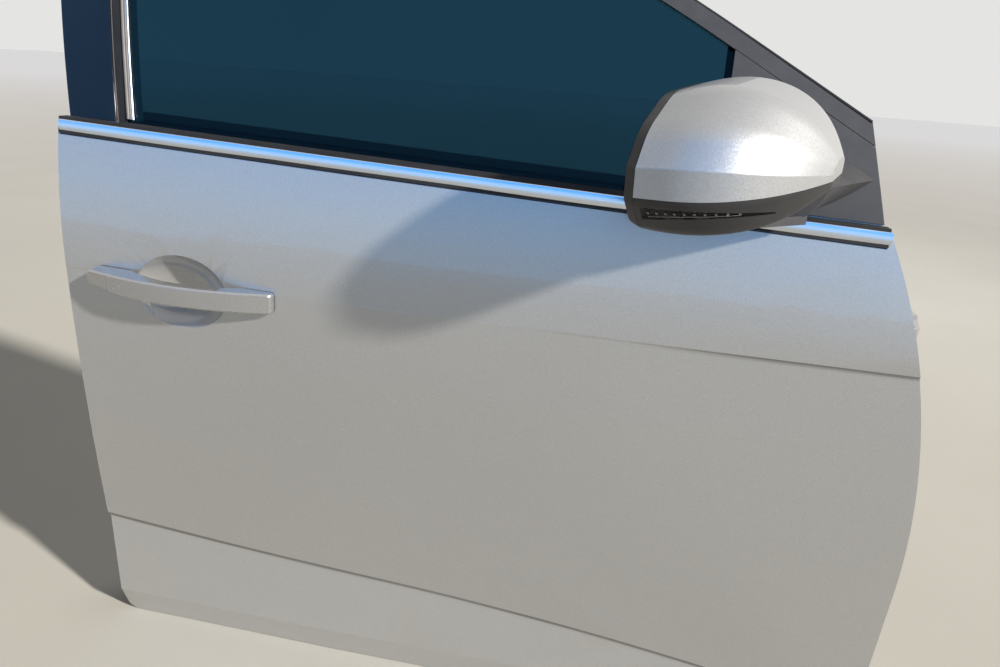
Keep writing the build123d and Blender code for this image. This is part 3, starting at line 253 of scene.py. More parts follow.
def metallic_paint(name, colour, flake=0.06, metallic=0.50, roughness=0.34, coat=1.0):
    """Clear-coated paint with fine metal flakes that tilt at random."""
    material, tree, shader = fresh_material(name)
    coords = object_coords(tree)
    set_shader(
        shader, metallic=metallic, roughness=roughness, coat_weight=coat, coat_roughness=0.03, coat_ior=1.6
    )
    grey = noise(tree, coords, 900.0, 2.0)
    tint = ramp(tree, grey, [(0.30, shade(colour, 0.90)), (0.70, shade(colour, 1.10))])
    tree.links.new(tint, shader.inputs["Base Color"])
    aside = vector_node(tree, "SUBTRACT", cells(tree, coords, 1500.0), (0.5, 0.5, 0.5))
    tilt = vector_node(tree, "SCALE", aside.outputs[0])
    tilt.inputs["Scale"].default_value = flake
    geometry = tree.nodes.new("ShaderNodeNewGeometry")
    tilted = vector_node(tree, "ADD", geometry.outputs["Normal"], tilt.outputs[0])
    normal = vector_node(tree, "NORMALIZE", tilted.outputs[0])
    tree.links.new(normal.outputs[0], shader.inputs["Normal"])
    return material


def lower_crease(tree, x):
    """Height of the lower crease at x, both as sockets."""
    shift_x, shift_z = CREASE_SHIFT
    places = [(along + shift_x, height + shift_z) for along, height in LOWER_CREASE]
    node = tree.nodes.new("ShaderNodeFloatCurve")
    curve = node.mapping.curves[0]
    for place in places[1:-1]:
        curve.points.new(*place)
    curve.points[0].location = places[0]
    curve.points[-1].location = places[-1]
    node.mapping.update()
    tree.links.new(math_node(tree, "ADD", x, shift_x), node.inputs["Value"])
    return math_node(tree, "ADD", node.outputs["Value"], -shift_z)


def door_paint(name, colour):
    """The silver paint of the door's side, with painted shade under its creases and a painted lighter band low
    down.
    """
    material = metallic_paint(name, colour)
    tree = material.node_tree
    shader = tree.nodes["Principled BSDF"]
    coords = object_coords(tree)
    split = tree.nodes.new("ShaderNodeSeparateXYZ")
    tree.links.new(coords, split.inputs[0])
    x, z = split.outputs["X"], split.outputs["Z"]
    height, slope = UPPER_CREASE
    below_upper = math_node(tree, "SUBTRACT", math_node(tree, "MULTIPLY_ADD", x, slope, height), z)
    below_lower = math_node(tree, "SUBTRACT", lower_crease(tree, x), z)
    upper = ramp(
        tree,
        math_node(tree, "MULTIPLY_ADD", below_upper, 50.0, 0.5),
        [(0.48, 0.0), (0.53, 1.0), (0.62, 0.8), (0.84, 0.0)],
    )
    forward = ramp(tree, math_node(tree, "ADD", x, 1.0), [(0.68, 0.0), (0.84, 1.0)])
    lower = ramp(
        tree,
        math_node(tree, "MULTIPLY_ADD", below_lower, 25.0, 0.5),
        [(0.49, 0.0), (0.53, 1.0), (0.67, 0.85), (0.74, 0.0)],
    )
    # Painted shade: a dark tone laid in along under both creases, under the upper one only towards the front
    under_creases = math_node(tree, "MAXIMUM", math_node(tree, "MULTIPLY", upper, forward), lower)
    crease_shade = math_node(tree, "MULTIPLY", under_creases, CREASE_SHADE_SHARE)
    # Painted light: the band below the lower crease, which faces up, gets a lighter tone in patches; the same
    # band is also made rougher
    below_lower_band = ramp(tree, math_node(tree, "MULTIPLY_ADD", below_lower, 12.0, 0.5), [(0.58, 0.0), (0.66, 1.0)])
    patchy = ramp(tree, noise(tree, coords, 14.0, 6.0, 0.6), [(0.25, 0.75), (0.75, 1.0)])
    low_band_light = math_node(tree, "MULTIPLY", math_node(tree, "MULTIPLY", below_lower_band, patchy), LOW_BAND_LIGHT_SHARE)
    plain_tint = shader.inputs["Base Color"].links[0].from_socket
    low_band_lit = mixed(tree, low_band_light, plain_tint, (0.74, 0.74, 0.72, 1))
    tree.links.new(mixed(tree, crease_shade, low_band_lit, (0.10, 0.098, 0.092, 1)), shader.inputs["Base Color"])
    tree.links.new(ramp(tree, below_lower_band, [(0.0, 0.34), (1.0, 0.42)]), shader.inputs["Roughness"])
    return material


def grained_plastic(name, colour, grain=1100.0, depth=0.00012, roughness=0.62):
    """Moulded plastic with a fine leather-like grain."""
    material, tree, shader = fresh_material(name)
    coords = object_coords(tree)
    set_shader(shader, roughness=roughness, specular_ior_level=0.45)
    mottle = ramp(tree, noise(tree, coords, 60.0), [(0.3, shade(colour, 0.88)), (0.7, shade(colour, 1.12))])
    tree.links.new(mottle, shader.inputs["Base Color"])
    bump(tree, cells(tree, coords, grain, "Distance"), shader, 0.5, depth)
    return material


def punched_grille(name, colour, centre, reach):
    """Fine round holes in rows inside a circle of the XZ plane, drawn near-black with a bump: the dark behind
    the holes and painted shade in them.
    """
    material, tree, shader = fresh_material(name)
    set_shader(shader, roughness=0.55, specular_ior_level=0.4)
    split = tree.nodes.new("ShaderNodeSeparateXYZ")
    tree.links.new(object_coords(tree), split.inputs[0])
    flat = tree.nodes.new("ShaderNodeCombineXYZ")
    tree.links.new(split.outputs["X"], flat.inputs["X"])
    tree.links.new(split.outputs["Z"], flat.inputs["Y"])
    rows = tree.nodes.new("ShaderNodeTexVoronoi")
    rows.voronoi_dimensions = "2D"
    rows.inputs["Scale"].default_value = 290.0
    rows.inputs["Randomness"].default_value = 0.0
    tree.links.new(flat.outputs[0], rows.inputs["Vector"])
    away = vector_node(tree, "DISTANCE", flat.outputs[0], (*centre, 0.0))
    inside = math_node(tree, "LESS_THAN", away.outputs["Value"], reach)
    hole = math_node(tree, "MULTIPLY", math_node(tree, "LESS_THAN", rows.outputs["Distance"], 0.30), inside)
    # The holes are near-black: the dark behind them and painted shade in them
    tone = ramp(tree, hole, [(0.0, colour), (1.0, (0.003, 0.003, 0.003, 1))])
    tree.links.new(tone, shader.inputs["Base Color"])
    bump(tree, ramp(tree, hole, [(0.0, 1.0), (1.0, 0.0)]), shader, 0.8, 0.0006)
    return material


def rubber(name, colour):
    """Dull black rubber with a faint bloom."""
    material, tree, shader = fresh_material(name)
    coords = object_coords(tree)
    set_shader(shader, roughness=0.78, specular_ior_level=0.3)
    bloom = ramp(tree, noise(tree, coords, 35.0, 5.0), [(0.35, colour), (0.75, shade(colour, 1.7))])
    tree.links.new(bloom, shader.inputs["Base Color"])
    bump(tree, noise(tree, coords, 1600.0), shader, 0.35, 0.00008)
    return material


def polished_metal(name, colour, roughness=0.12, stretch=(6, 900, 900)):
    """Bright metal with a faint lengthwise polish."""
    material, tree, shader = fresh_material(name)
    coords = object_coords(tree, stretch)
    set_shader(shader, metallic=1.0)
    streaks = noise(tree, coords, 1.0, 4.0)
    tone = ramp(tree, streaks, [(0.3, shade(colour, 0.95)), (0.7, shade(colour, 1.03))])
    tree.links.new(tone, shader.inputs["Base Color"])
    polish = ramp(tree, streaks, [(0.3, roughness * 0.8), (0.7, roughness * 1.25)])
    tree.links.new(polish, shader.inputs["Roughness"])
    return material


def gloss_black(name, colour):
    """Deep gloss plastic with a light dust of fine scratches."""
    material, tree, shader = fresh_material(name)
    coords = object_coords(tree)
    set_shader(shader, specular_ior_level=0.35)
    tone = ramp(tree, noise(tree, coords, 12.0, 4.0), [(0.3, colour), (0.8, shade(colour, 1.5))])
    tree.links.new(tone, shader.inputs["Base Color"])
    haze = ramp(tree, noise(tree, coords, 45.0, 6.0), [(0.3, 0.05), (0.8, 0.13)])
    tree.links.new(haze, shader.inputs["Roughness"])
    return material


def tinted_glass(name, colour):
    """Safety glass with a blue-grey tint, made near-black for the window as painted shade of the cabin behind
    it, or a lamp's smoked lens.
    """
    material, tree, shader = fresh_material(name)
    coords = object_coords(tree)
    set_shader(shader, roughness=0.0, ior=1.22, transmission_weight=1.0)
    tone = ramp(tree, noise(tree, coords, 3.0, 2.0), [(0.3, shade(colour, 0.94)), (0.8, shade(colour, 1.04))])
    tree.links.new(tone, shader.inputs["Base Color"])
    return material


def silvered_glass(name, colour):
    """Mirror glass with a faint blue cast."""
    material, tree, shader = fresh_material(name)
    coords = object_coords(tree)
    set_shader(shader, metallic=1.0)
    tone = ramp(tree, noise(tree, coords, 8.0, 2.0), [(0.2, shade(colour, 0.97)), (0.8, colour)])
    tree.links.new(tone, shader.inputs["Base Color"])
    below_lower_band = ramp(tree, noise(tree, coords, 30.0, 5.0), [(0.4, 0.015), (0.9, 0.05)])
    tree.links.new(below_lower_band, shader.inputs["Roughness"])
    return material


# Lines of the door that the loose pieces follow, in metres


def plan_y(x):
    """Y of the widest line of the painted side."""
    if x > -0.720:
        return -0.118 + 0.015 * ((x + 0.720) / 0.752) ** 2
    return -0.118 + 0.0015 * ((x + 0.720) / 0.284) ** 2


def side_y(x, z):
    """Y of the painted side at or above the upper crease."""
    crease = 0.174 - 0.008 * (x + 1.004) / 1.036
    return plan_y(x) + (z - crease) ** 2 / 1.56


def glass_y(x, z):
    """Y of the outer face of the window frame."""
    rise = z - 0.330
    return plan_y(x) + 0.033 + rise * math.tan(math.radians(13)) + rise**2 / 2.8


def waist_z(x):
    """Height of the waist line."""
    return 0.348 - 0.035 * (x + 1.004) / 0.932


def waist_line(rear, step, below, out):
    """Eleven points from rear to front, below the waist line and out from the painted side."""
    points = []
    for index in range(11):
        x = rear + step * index
        z = waist_z(x) - below
        points.append((x, side_y(x, z) - out, z))
    return points


def cover_x(z):
    """X of the front edge of the rear pillar's cover."""
    return -0.930 + (z - 0.348) * (-0.074 + 0.008) / 0.394


def frame_edge(share):
    """X and Z of the frame's outer edge, from the sail's tip at 0 to the top rear corner at 1."""
    if share < 0.15:
        along = share / 0.15
        return -0.101 - 0.150 * along, 0.416 + 0.08315 * along
    turn = math.radians(25.26) * (share - 0.15) / 0.85
    start = math.radians(29)
    radius = 1.971
    return (
        -0.251 - radius * (math.sin(start) - math.sin(start - turn)),
        0.49915 + radius * (math.cos(start - turn) - math.cos(start)),
    )


def seam_y(x):
    """Y of the armrest's seam, which turns towards the door at the rear."""
    if x > -0.600:
        return 0.0845
    return 0.0845 - 0.022 * (-0.600 - x) / 0.305


def lamp_height(depth):
    """Height of the lamp strip's middle ahead of the mirror's rear face, from the middle of that face."""
    return -0.05025 + (depth - 0.006) / 0.096 * 0.0112


def mirror_point(depth, inboard, up):
    """A point of the mirror head, given ahead of its rear face, inboard and up from the middle of that face."""
    turn = math.radians(24)
    forward = Vector((math.cos(turn), -math.sin(turn), 0))
    across = Vector((math.sin(turn), math.cos(turn), 0))
    return Vector((-0.299, -0.193, 0.384 + up)) + forward * depth + across * inboard


# Helpers for pieces


def finish_node(node, material):
    """Gives a CAD node its finish."""
    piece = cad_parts[node]
    piece.data.materials.clear()
    piece.data.materials.append(material)


def only(piece):
    """Selects one object and nothing else."""
    if bpy.context.object and bpy.context.object.mode != "OBJECT":
        bpy.ops.object.mode_set(mode="OBJECT")
    bpy.ops.object.select_all(action="DESELECT")
    piece.select_set(True)
    bpy.context.view_layer.objects.active = piece


def settle(piece, name, finish, body="door", replaces=()):
    """Names a finished piece, puts its place into its mesh, and ties it to a body of the door."""
    only(piece)
    bpy.ops.object.transform_apply(location=True, rotation=True, scale=True)
    piece.name = name
    piece.data.name = name
    piece.data.materials.clear()
    piece.data.materials.append(FINISH[finish])
    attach(piece, body)
    if replaces:
        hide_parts(*replaces)
    return piece


def sized(piece, factors):
    """Stretches a piece along its axes, in its mesh or curve."""
    only(piece)
    bpy.ops.transform.resize(value=factors)
    bpy.ops.object.transform_apply(location=True, rotation=True, scale=True)


def apply_modifier(piece, kind, **values):
    """Adds a modifier, sets it and applies it."""
    only(piece)
    modifier = piece.modifiers.new(kind.title(), kind)
    for key, value in values.items():
        setattr(modifier, key, value)
    bpy.ops.object.modifier_apply(modifier=modifier.name)


def smoothed(piece, angle=32):
    """Smooth shading up to an angle, with flat faces kept flat."""
    only(piece)
    bpy.ops.object.shade_smooth_by_angle(angle=math.radians(angle))
    apply_modifier(piece, "WEIGHTED_NORMAL", keep_sharp=True, weight=60)


def soften(node, name, finish, slot, edge=0.0, limit=40, angle=32, body="door"):
    """A copy of a CAD node in its place, with its faces joined up, its edges rounded and its curves smooth."""
    piece = bpy.data.objects.new(name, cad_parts[node].data.copy())
    bpy.context.collection.objects.link(piece)
    only(piece)
    bpy.ops.object.mode_set(mode="EDIT")
    bpy.ops.mesh.select_all(action="SELECT")
    bpy.ops.mesh.remove_doubles(threshold=0.00002)
    bpy.ops.mesh.dissolve_limited(angle_limit=math.radians(0.5))
    bpy.ops.object.mode_set(mode="OBJECT")
    if edge:
        apply_modifier(
            piece, "BEVEL", width=edge, segments=3, limit_method="ANGLE", angle_limit=math.radians(limit),
            use_clamp_overlap=True, miter_outer="MITER_ARC",
        )
    smoothed(piece, angle)
    return settle(piece, name, finish, body, replaces=(node,))


def curve_along(points, fineness):
    """A smooth curve along a list of points, with closed ends and fineness steps from point to point."""
    bpy.ops.object.select_all(action="DESELECT")
    bpy.ops.curve.primitive_nurbs_path_add(radius=1.0)
    path = bpy.context.object
    path.location = (0, 0, 0)
    curve = path.data
    curve.splines.clear()
    spline = curve.splines.new("NURBS")
    spline.points.add(len(points) - 1)
    for knot, place in zip(spline.points, points):
        knot.co = (*place, 1.0)
    spline.order_u = 3
    spline.use_endpoint_u = True
    curve.dimensions = "3D"
    curve.resolution_u = fineness
    curve.use_fill_caps = True
    return path


def settle_curve(path, name, finish, body="door"):
    """Makes a curve a smooth mesh and settles it."""
    only(path)
    bpy.ops.object.convert(target="MESH")
    bpy.ops.object.shade_smooth_by_angle(angle=math.radians(50))
    return settle(bpy.context.object, name, finish, body)


def bead(name, points, radius, finish, slot, body="door"):
    """A round rubber or metal bead along a line of points."""
    path = curve_along(points, 6)
    path.data.bevel_depth = radius
    path.data.bevel_resolution = 3
    return settle_curve(path, name, finish, body)


def crowned(name, points, half_height, half_depth, finish):
    """A moulding along a line of points, with a crowned oval section that stands upright."""
    bpy.ops.object.select_all(action="DESELECT")
    bpy.ops.curve.primitive_bezier_circle_add(radius=1.0)
    section = bpy.context.object
    section.data.resolution_u = 8
    sized(section, (half_depth, half_height, 1.0))
    path = curve_along(points, 8)
    path.data.twist_mode = "Z_UP"
    path.data.bevel_mode = "OBJECT"
    path.data.bevel_object = section
    piece = settle_curve(path, name, finish)
    bpy.data.objects.remove(section)
    return piece


def pick_faces(piece, test):
    """Selects the faces that pass a test of centre and normal, in edit mode."""
    bpy.ops.object.mode_set(mode="OBJECT")
    for face in piece.data.polygons:
        face.select = bool(test(face.center, face.normal))
    bpy.ops.object.mode_set(mode="EDIT")


def start_edit(piece):
    """Goes into edit mode with nothing selected, in face mode."""
    only(piece)
    bpy.ops.object.mode_set(mode="EDIT")
    bpy.ops.mesh.select_mode(type="FACE")
    bpy.ops.mesh.select_all(action="DESELECT")


def join(pieces):
    """Joins meshes into the first one."""
    only(pieces[0])
    for piece in pieces[1:]:
        piece.select_set(True)
    bpy.ops.object.join()
    return bpy.context.object


def copy_of(piece, place, direction=None):
    """A copy of a piece with its own mesh, at a place, with its +Z along a direction if one is given."""
    twin = bpy.data.objects.new(piece.name, piece.data.copy())
    bpy.context.collection.objects.link(twin)
    turn = Matrix() if direction is None else facing(direction).to_matrix().to_4x4()
    twin.matrix_world = Matrix.Translation(place) @ turn
    return twin


def settle_copies(pattern, spots, name, finish, slot, body="door"):
    """Makes one piece of a pattern's copies at (place, direction) spots, and removes the pattern."""
    copies = [copy_of(pattern, place, direction) for place, direction in spots]
    bpy.data.objects.remove(pattern)
    return settle(join(copies), name, finish, body)


def facing(direction, up=(0, 0, 1)):
    """The turn that points a piece's own +Z along a direction, with its +Y near up."""
    z = Vector(direction).normalized()
    x = Vector(up).cross(z).normalized()
    return Matrix((x, z.cross(x), z)).transposed().to_euler()


def on_node(node, start, direction):
    """Where a straight line from start first meets a CAD node, and the surface normal there."""
    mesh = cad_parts[node].data
    surface = BVHTree.FromPolygons(
        [vertex.co for vertex in mesh.vertices], [face.vertices for face in mesh.polygons]
    )
    place, normal, _, _ = surface.ray_cast(Vector(start), Vector(direction).normalized())
    if place is None:
        raise RuntimeError(f"no surface of {node} on the line from {tuple(start)}")
    return place, normal


def sunk_head(sides, radius, height, rim, rim_steps, inset, sink):
    """A low round head about the origin with a rounded rim and a sunk middle, left in edit mode."""
    bpy.ops.object.select_all(action="DESELECT")
    bpy.ops.mesh.primitive_cylinder_add(vertices=sides, radius=radius, depth=height, location=(0, 0, 0))
    head = bpy.context.object
    start_edit(head)
    pick_faces(head, lambda centre, normal: normal.z > 0.9)
    bpy.ops.mesh.bevel(offset=rim, segments=rim_steps, affect="EDGES")
    pick_faces(head, lambda centre, normal: normal.z > 0.999)
    bpy.ops.mesh.inset(thickness=inset)
    bpy.ops.mesh.extrude_region_move(TRANSFORM_OT_translate={"value": (0, 0, -sink)})
    return head


def star_screw(radius, height):
    """A low screw head with a six-lobed recess."""
    screw = sunk_head(24, radius, height, radius * 0.22, 3, radius * 0.30, height * 0.55)
    bpy.ops.object.mode_set(mode="OBJECT")
    inner = radius * 0.6
    for vertex in screw.data.vertices:
        away = math.hypot(vertex.co.x, vertex.co.y)
        turn = round(math.degrees(math.atan2(vertex.co.y, vertex.co.x)) / 15) % 4
        if away < inner and turn in (0, 1):
            vertex.co.x *= 0.72
            vertex.co.y *= 0.72
    bpy.ops.object.shade_smooth_by_angle(angle=math.radians(40))
    return screw


def round_plug(radius, height):
    """A domed rubber plug with a shallow ring."""
    plug = sunk_head(32, radius, height, height * 0.6, 4, radius * 0.28, height * 0.4)
    bpy.ops.mesh.inset(thickness=radius * 0.10)
    bpy.ops.object.mode_set(mode="OBJECT")
    bpy.ops.object.shade_smooth_by_angle(angle=math.radians(40))
    return plug


class DoorColours(bpy.types.PropertyGroup):
    """Colours of the door's finishes."""

    paint: bpy.props.FloatVectorProperty(
        name="Paint", description="Body colour",
        default=(0.42, 0.425, 0.43, 1), **COLOUR
    )
    strip: bpy.props.FloatVectorProperty(
        name="Waist strip", description="Polished strip under the glass",
        default=(0.70, 0.74, 0.79, 1), **COLOUR
    )
    plastic: bpy.props.FloatVectorProperty(
        name="Dark plastic", description="Sail, mirror foot and case",
        default=(0.050, 0.050, 0.054, 1), **COLOUR
    )
    seal: bpy.props.FloatVectorProperty(
        name="Seals", description="Rubber channels and lips",
        default=(0.016, 0.016, 0.018, 1), **COLOUR
    )
    gloss: bpy.props.FloatVectorProperty(
        name="Gloss cover", description="Cover on the rear pillar",
        default=(0.006, 0.007, 0.010, 1), **COLOUR
    )
    # The window's tint is near-black: painted shade of the cabin behind it, which is not built
    glass: bpy.props.FloatVectorProperty(
        name="Glass tint", description="Colour seen through the glass",
        default=(0.012, 0.048, 0.075, 1), **COLOUR
    )
    trim: bpy.props.FloatVectorProperty(
        name="Inside trim", description="Door card",
        default=(0.050, 0.050, 0.054, 1), **COLOUR
    )
    metal: bpy.props.FloatVectorProperty(
        name="Steel", description="Latch, screws and pins",
        default=(0.34, 0.34, 0.35, 1), **COLOUR
    )


def make_floor(context, height):
    """A pale warm floor at a height, which fades to the backdrop's tone with distance."""
    bpy.ops.object.select_all(action="DESELECT")
    bpy.ops.mesh.primitive_plane_add(size=60.0, location=(-0.5, 4.0, height - 0.001))
    floor = context.object
    floor.name = "studio_floor"
    material, tree, shader = fresh_material("pale_floor")
    set_shader(shader, roughness=0.9, specular_ior_level=0.1)
    coords = object_coords(tree)
    tone = ramp(tree, noise(tree, coords, 1.5), [(0.3, (0.475, 0.462, 0.420)), (0.7, (0.505, 0.492, 0.450))])
    away = vector_node(tree, "DISTANCE", coords, (0.0, -4.0, 0.0))
    far = ramp(
        tree, math_node(tree, "MULTIPLY", away.outputs["Value"], 0.04), [(0.06, 0.0), (0.75, 1.0)]
    )
    tree.links.new(mixed(tree, far, tone, (0.66, 0.68, 0.73, 1)), shader.inputs["Base Color"])
    floor.data.materials.append(material)


def make_sky_card(context, height):
    """A glowing blue card beside the door, which stands on a height and shows in reflections only."""
    place = (*CARD_AT, height + CARD_SIZE[1] / 2)
    bpy.ops.mesh.primitive_plane_add(size=1.0, location=place, rotation=(math.pi / 2, 0, 0))
    card = context.object
    card.name = "sky_card"
    card.scale = (*CARD_SIZE, 1.0)
    material, tree, shader = fresh_material("sky_card")
    tree.nodes.remove(shader)
    split = tree.nodes.new("ShaderNodeSeparateXYZ")
    tree.links.new(object_coords(tree), split.inputs[0])
    sky = ramp(
        tree,
        math_node(tree, "ADD", split.outputs["Y"], 0.5),
        [
            (0.0, (0.44, 0.62, 0.84)), (0.12, (0.34, 0.58, 0.90)),
            (0.26, (0.12, 0.42, 0.96)), (1.0, (0.12, 0.40, 0.94)),
        ],
    )
    glow = tree.nodes.new("ShaderNodeEmission")
    glow.inputs["Strength"].default_value = CARD_GLOW
    tree.links.new(sky, glow.inputs["Color"])
    tree.links.new(glow.outputs[0], tree.nodes["Material Output"].inputs["Surface"])
    card.data.materials.append(material)
    card.visible_camera = False
    card.visible_diffuse = False
    card.visible_transmission = False
    card.visible_shadow = False


def light_world(context):
    """A near-white world, weaker as light on rough faces than where it is seen."""
    world = context.scene.world or bpy.data.worlds.new("studio")
    context.scene.world = world
    world.use_nodes = True
    tree = world.node_tree
    tree.nodes.clear()
    out = tree.nodes.new("ShaderNodeOutputWorld")
    back = tree.nodes.new("ShaderNodeBackground")
    path = tree.nodes.new("ShaderNodeLightPath")
    seen = math_node(
        tree, "MAXIMUM", path.outputs["Is Camera Ray"],
        math_node(tree, "MAXIMUM", path.outputs["Is Glossy Ray"], path.outputs["Is Transmission Ray"]),
    )
    back.inputs["Color"].default_value = (1.0, 0.995, 0.985, 1)
    tree.links.new(math_node(tree, "MULTIPLY_ADD", seen, WORLD_SEEN, WORLD_FILL), back.inputs["Strength"])
    tree.links.new(back.outputs[0], out.inputs["Surface"])


def add_lights(context):
    """The sun from the front, and a weak lamp behind the door that lights its inside."""
    sun = bpy.data.lights.new("key", "SUN")
    sun.energy = KEY_POWER
    sun.angle = math.radians(KEY_WIDTH)
    sun.color = KEY_COLOUR
    holder = bpy.data.objects.new("key", sun)
    holder.rotation_euler = facing(KEY_FROM)
    context.collection.objects.link(holder)
    lamp = bpy.data.lights.new("back", "AREA")
    lamp.size = BACK_LIGHT_SIZE
    lamp.energy = BACK_LIGHT_POWER
    holder = bpy.data.objects.new("back", lamp)
    holder.location = BACK_LIGHT_AT
    holder.rotation_euler = facing(Vector(BACK_LIGHT_AT) - Vector(BACK_LIGHT_TO))
    holder.visible_camera = False
    holder.visible_transmission = False
    holder.visible_glossy = False
    context.collection.objects.link(holder)


def place_camera(context):
    """The photograph's camera."""
    lens = bpy.data.cameras.new("photo_camera")
    lens.sensor_width = 36.0
    lens.lens = CAMERA_LENS
    camera = bpy.data.objects.new("photo_camera", lens)
    right, up = Vector(CAMERA_RIGHT).normalized(), Vector(CAMERA_UP).normalized()
    axes = Matrix((right, up, right.cross(up))).transposed().to_4x4()
    camera.matrix_world = Matrix.Translation(CAMERA_AT) @ axes
    context.collection.objects.link(camera)
    context.scene.camera = camera
    context.scene.view_settings.view_transform = "Standard"


class DOOR_OT_stage(bpy.types.Operator):
    """Sets the pale floor, the soft studio light and the photograph's camera"""

    bl_idname = "door.stage"
    bl_label = "Stage, light and camera"

    def execute(self, context):
        ground = CAD_BOX[0].z
        make_floor(context, ground)
        make_sky_card(context, ground)
        light_world(context)
        add_lights(context)
        place_camera(context)
        return {"FINISHED"}


class DOOR_OT_finishes(bpy.types.Operator):
    """Mixes the finishes and gives each carried-over piece its own"""

    bl_idname = "door.finishes"
    bl_label = "Finishes"

    def execute(self, context):
        colours = context.scene.door_colours
        FINISH.update(
            cap=metallic_paint("mirror_cap_silver", colours.paint, 0.10, 0.55, 0.48, 0.45),
            # The handle's paint is the body paint made 5 % darker: painted shade
            grip=metallic_paint("handle_silver", shade(colours.paint, 0.95), 0.03, 0.70, 0.26),
            side=door_paint("silver_door_paint", colours.paint),
            inside=metallic_paint("silver_paint_inner", shade(colours.paint, 0.92), 0.05),
            dark=grained_plastic("dark_plastic", colours.plastic),
            case=grained_plastic("mirror_case_plastic", shade(colours.plastic, 0.55), 1500.0, 0.00005, 0.38),
            seal=rubber("seal_rubber", colours.seal),
            trim=grained_plastic("trim_plastic", colours.trim, 700.0, 0.0002),
            soft=grained_plastic("armrest_skin", shade(colours.trim, 1.6), 420.0, 0.0003, 0.7),
            satin=polished_metal("satin_metal", (0.62, 0.63, 0.65, 1), 0.30, (40, 900, 900)),
            strip=polished_metal("polished_strip", colours.strip, 0.22),
            gloss=gloss_black("gloss_black", colours.gloss),
            glass=tinted_glass("tinted_glass", colours.glass),
            lens=tinted_glass("lamp_lens", (0.34, 0.34, 0.36, 1)),
            silvered=silvered_glass("mirror_silver", (0.88, 0.90, 0.93, 1)),
            steel=polished_metal("plated_steel", colours.metal, 0.28, (60, 60, 60)),
            grille=punched_grille("punched_grille", shade(colours.trim, 0.8), (-0.205, -0.205), 0.071),
            run=grained_plastic("run_trim", (0.20, 0.19, 0.185, 1), 900.0, 0.00004, 0.5),
            thread=grained_plastic("thread", (0.32, 0.32, 0.33, 1), 2600.0, 0.00004, 0.8),
            diode=grained_plastic("lamp_diode", (0.86, 0.86, 0.82, 1), 2000.0, 0.00001, 0.15),
        )
        for node, finish in (("inner_panel", "inside"), ("window_frame", "inside"), ("window_glass", "glass")):
            finish_node(node, FINISH[finish])
        return {"FINISHED"}


class DOOR_OT_outside(bpy.types.Operator):
    """Makes the painted skin, the frame's covers and the seals seen from outside"""

    bl_idname = "door.outside"
    bl_label = "Skin, covers and seals"

    def execute(self, context):
        soften("outer_skin", "painted_skin", "side", "paint_skin", angle=20)
        soften("waist_strip", "strip_carrier", "seal", "bright_strip", 0.0006)
        crowned(
            "bright_waist_strip", waist_line(-1.0015, 0.0932, STRIP_BELOW, 0.0008),
            STRIP_HALF_HEIGHT, STRIP_HALF_DEPTH, "strip",
        )
        soften("sail_panel", "sail_cover", "dark", "dark_plastic", 0.0006)
        soften("frame_moulding", "frame_cover", "dark", "dark_plastic", 0.0006)
        soften("pillar_cover", "pillar_gloss_cover", "gloss", "black_gloss", 0.0006)
        soften("glass_channel", "glass_run", "seal", "rubber_seals", 0.0004)
        soften("outer_glass_seal", "outer_waist_seal", "seal", "rubber_seals", 0.0005)
        soften("inner_glass_seal", "inner_waist_seal", "seal", "rubber_seals", 0.001)
        soften("weather_seal", "door_seal", "seal", "rubber_seals", 0.0022)
        bead(
            "strip_lower_lip", waist_line(-1.001, 0.0929, LIP_BELOW, 0.0003), LIP_RADIUS, "seal",
            "rubber_seals",
        )
        heights = [0.351 + 0.0765 * step for step in range(6)]
        # How far each trim of the run lies forward of the pillar cover and in from the frame, and its radius
        for name, forward, inward, radius, finish in (
            ("run_trim_outer", 0.0030, 0.0030, 0.0022, "run"),
            ("run_trim_middle", 0.0062, 0.0034, 0.0018, "run"),
            ("run_trim_edge", 0.0092, 0.0030, 0.0012, "satin"),
        ):
            line = [
                (cover_x(z) + forward, glass_y(cover_x(z) + forward, z) + inward, z) for z in heights
            ]
            bead(name, line, radius, finish, "bright_strip")
        places = [frame_edge(0.985 * step / 24) for step in range(25)]
        bead(
            "frame_edge_seal",
            [(x - 0.0006, glass_y(x, z - 0.0018) + 0.0016, z - 0.0018) for x, z in places],
            0.0018, "seal", "rubber_seals",
        )
        return {"FINISHED"}


class DOOR_OT_mirror(bpy.types.Operator):
    """Makes the door mirror: painted cap, dark case, lamp strip with its lights, bezel and glass"""

    bl_idname = "door.mirror"
    bl_label = "Door mirror"

    def execute(self, context):
        head = {"body": "mirror_head"}
        soften("mirror_foot", "mirror_wing_foot", "dark", "dark_plastic", 0.0006, 50)
        soften("mirror_cap", "mirror_painted_cap", "cap", "mirror_paint", 0.0006, 50, 34, **head)
        soften("mirror_case", "mirror_lower_case", "case", "dark_plastic", 0.0005, 50, 36, **head)
        soften("mirror_bezel", "mirror_rim", "case", "dark_plastic", 0.0012, 50, **head)
        soften("mirror_lamp", "lamp_lens", "lens", "lamp_lens", 0.0003, 50, **head)
        soften("mirror_glass", "mirror_pane", "silvered", "mirror", 0.0012, 50, **head)
        across = (mirror_point(0, 1, 0) - mirror_point(0, 0, 0)).normalized()
        bpy.ops.object.select_all(action="DESELECT")
        bpy.ops.mesh.primitive_cube_add(size=1.0, location=(0, 0, 0))
        chip = context.object
        sized(chip, (0.0022, 0.0015, 0.0009))
        apply_modifier(chip, "BEVEL", width=0.0003, segments=2)
        lights = []
        guide = []
        for step in range(LIGHTS):
            depth = FIRST_LIGHT + LIGHT_STEP * step
            up = lamp_height(depth)
            place, normal = on_node("mirror_lamp", mirror_point(depth, -0.2, up), across)
            lights.append((place - normal * 0.0012, normal))
            low = up - 0.0030 + 0.00026 * step
            place, normal = on_node("mirror_lamp", mirror_point(depth, -0.2, low), across)
            guide.append(place - normal * 0.0010)
        settle_copies(chip, lights, "lamp_diodes", "diode", "lamp_lens", **head)
        bead("lamp_guide", guide, 0.0005, "satin", "lamp_lens", **head)
        return {"FINISHED"}


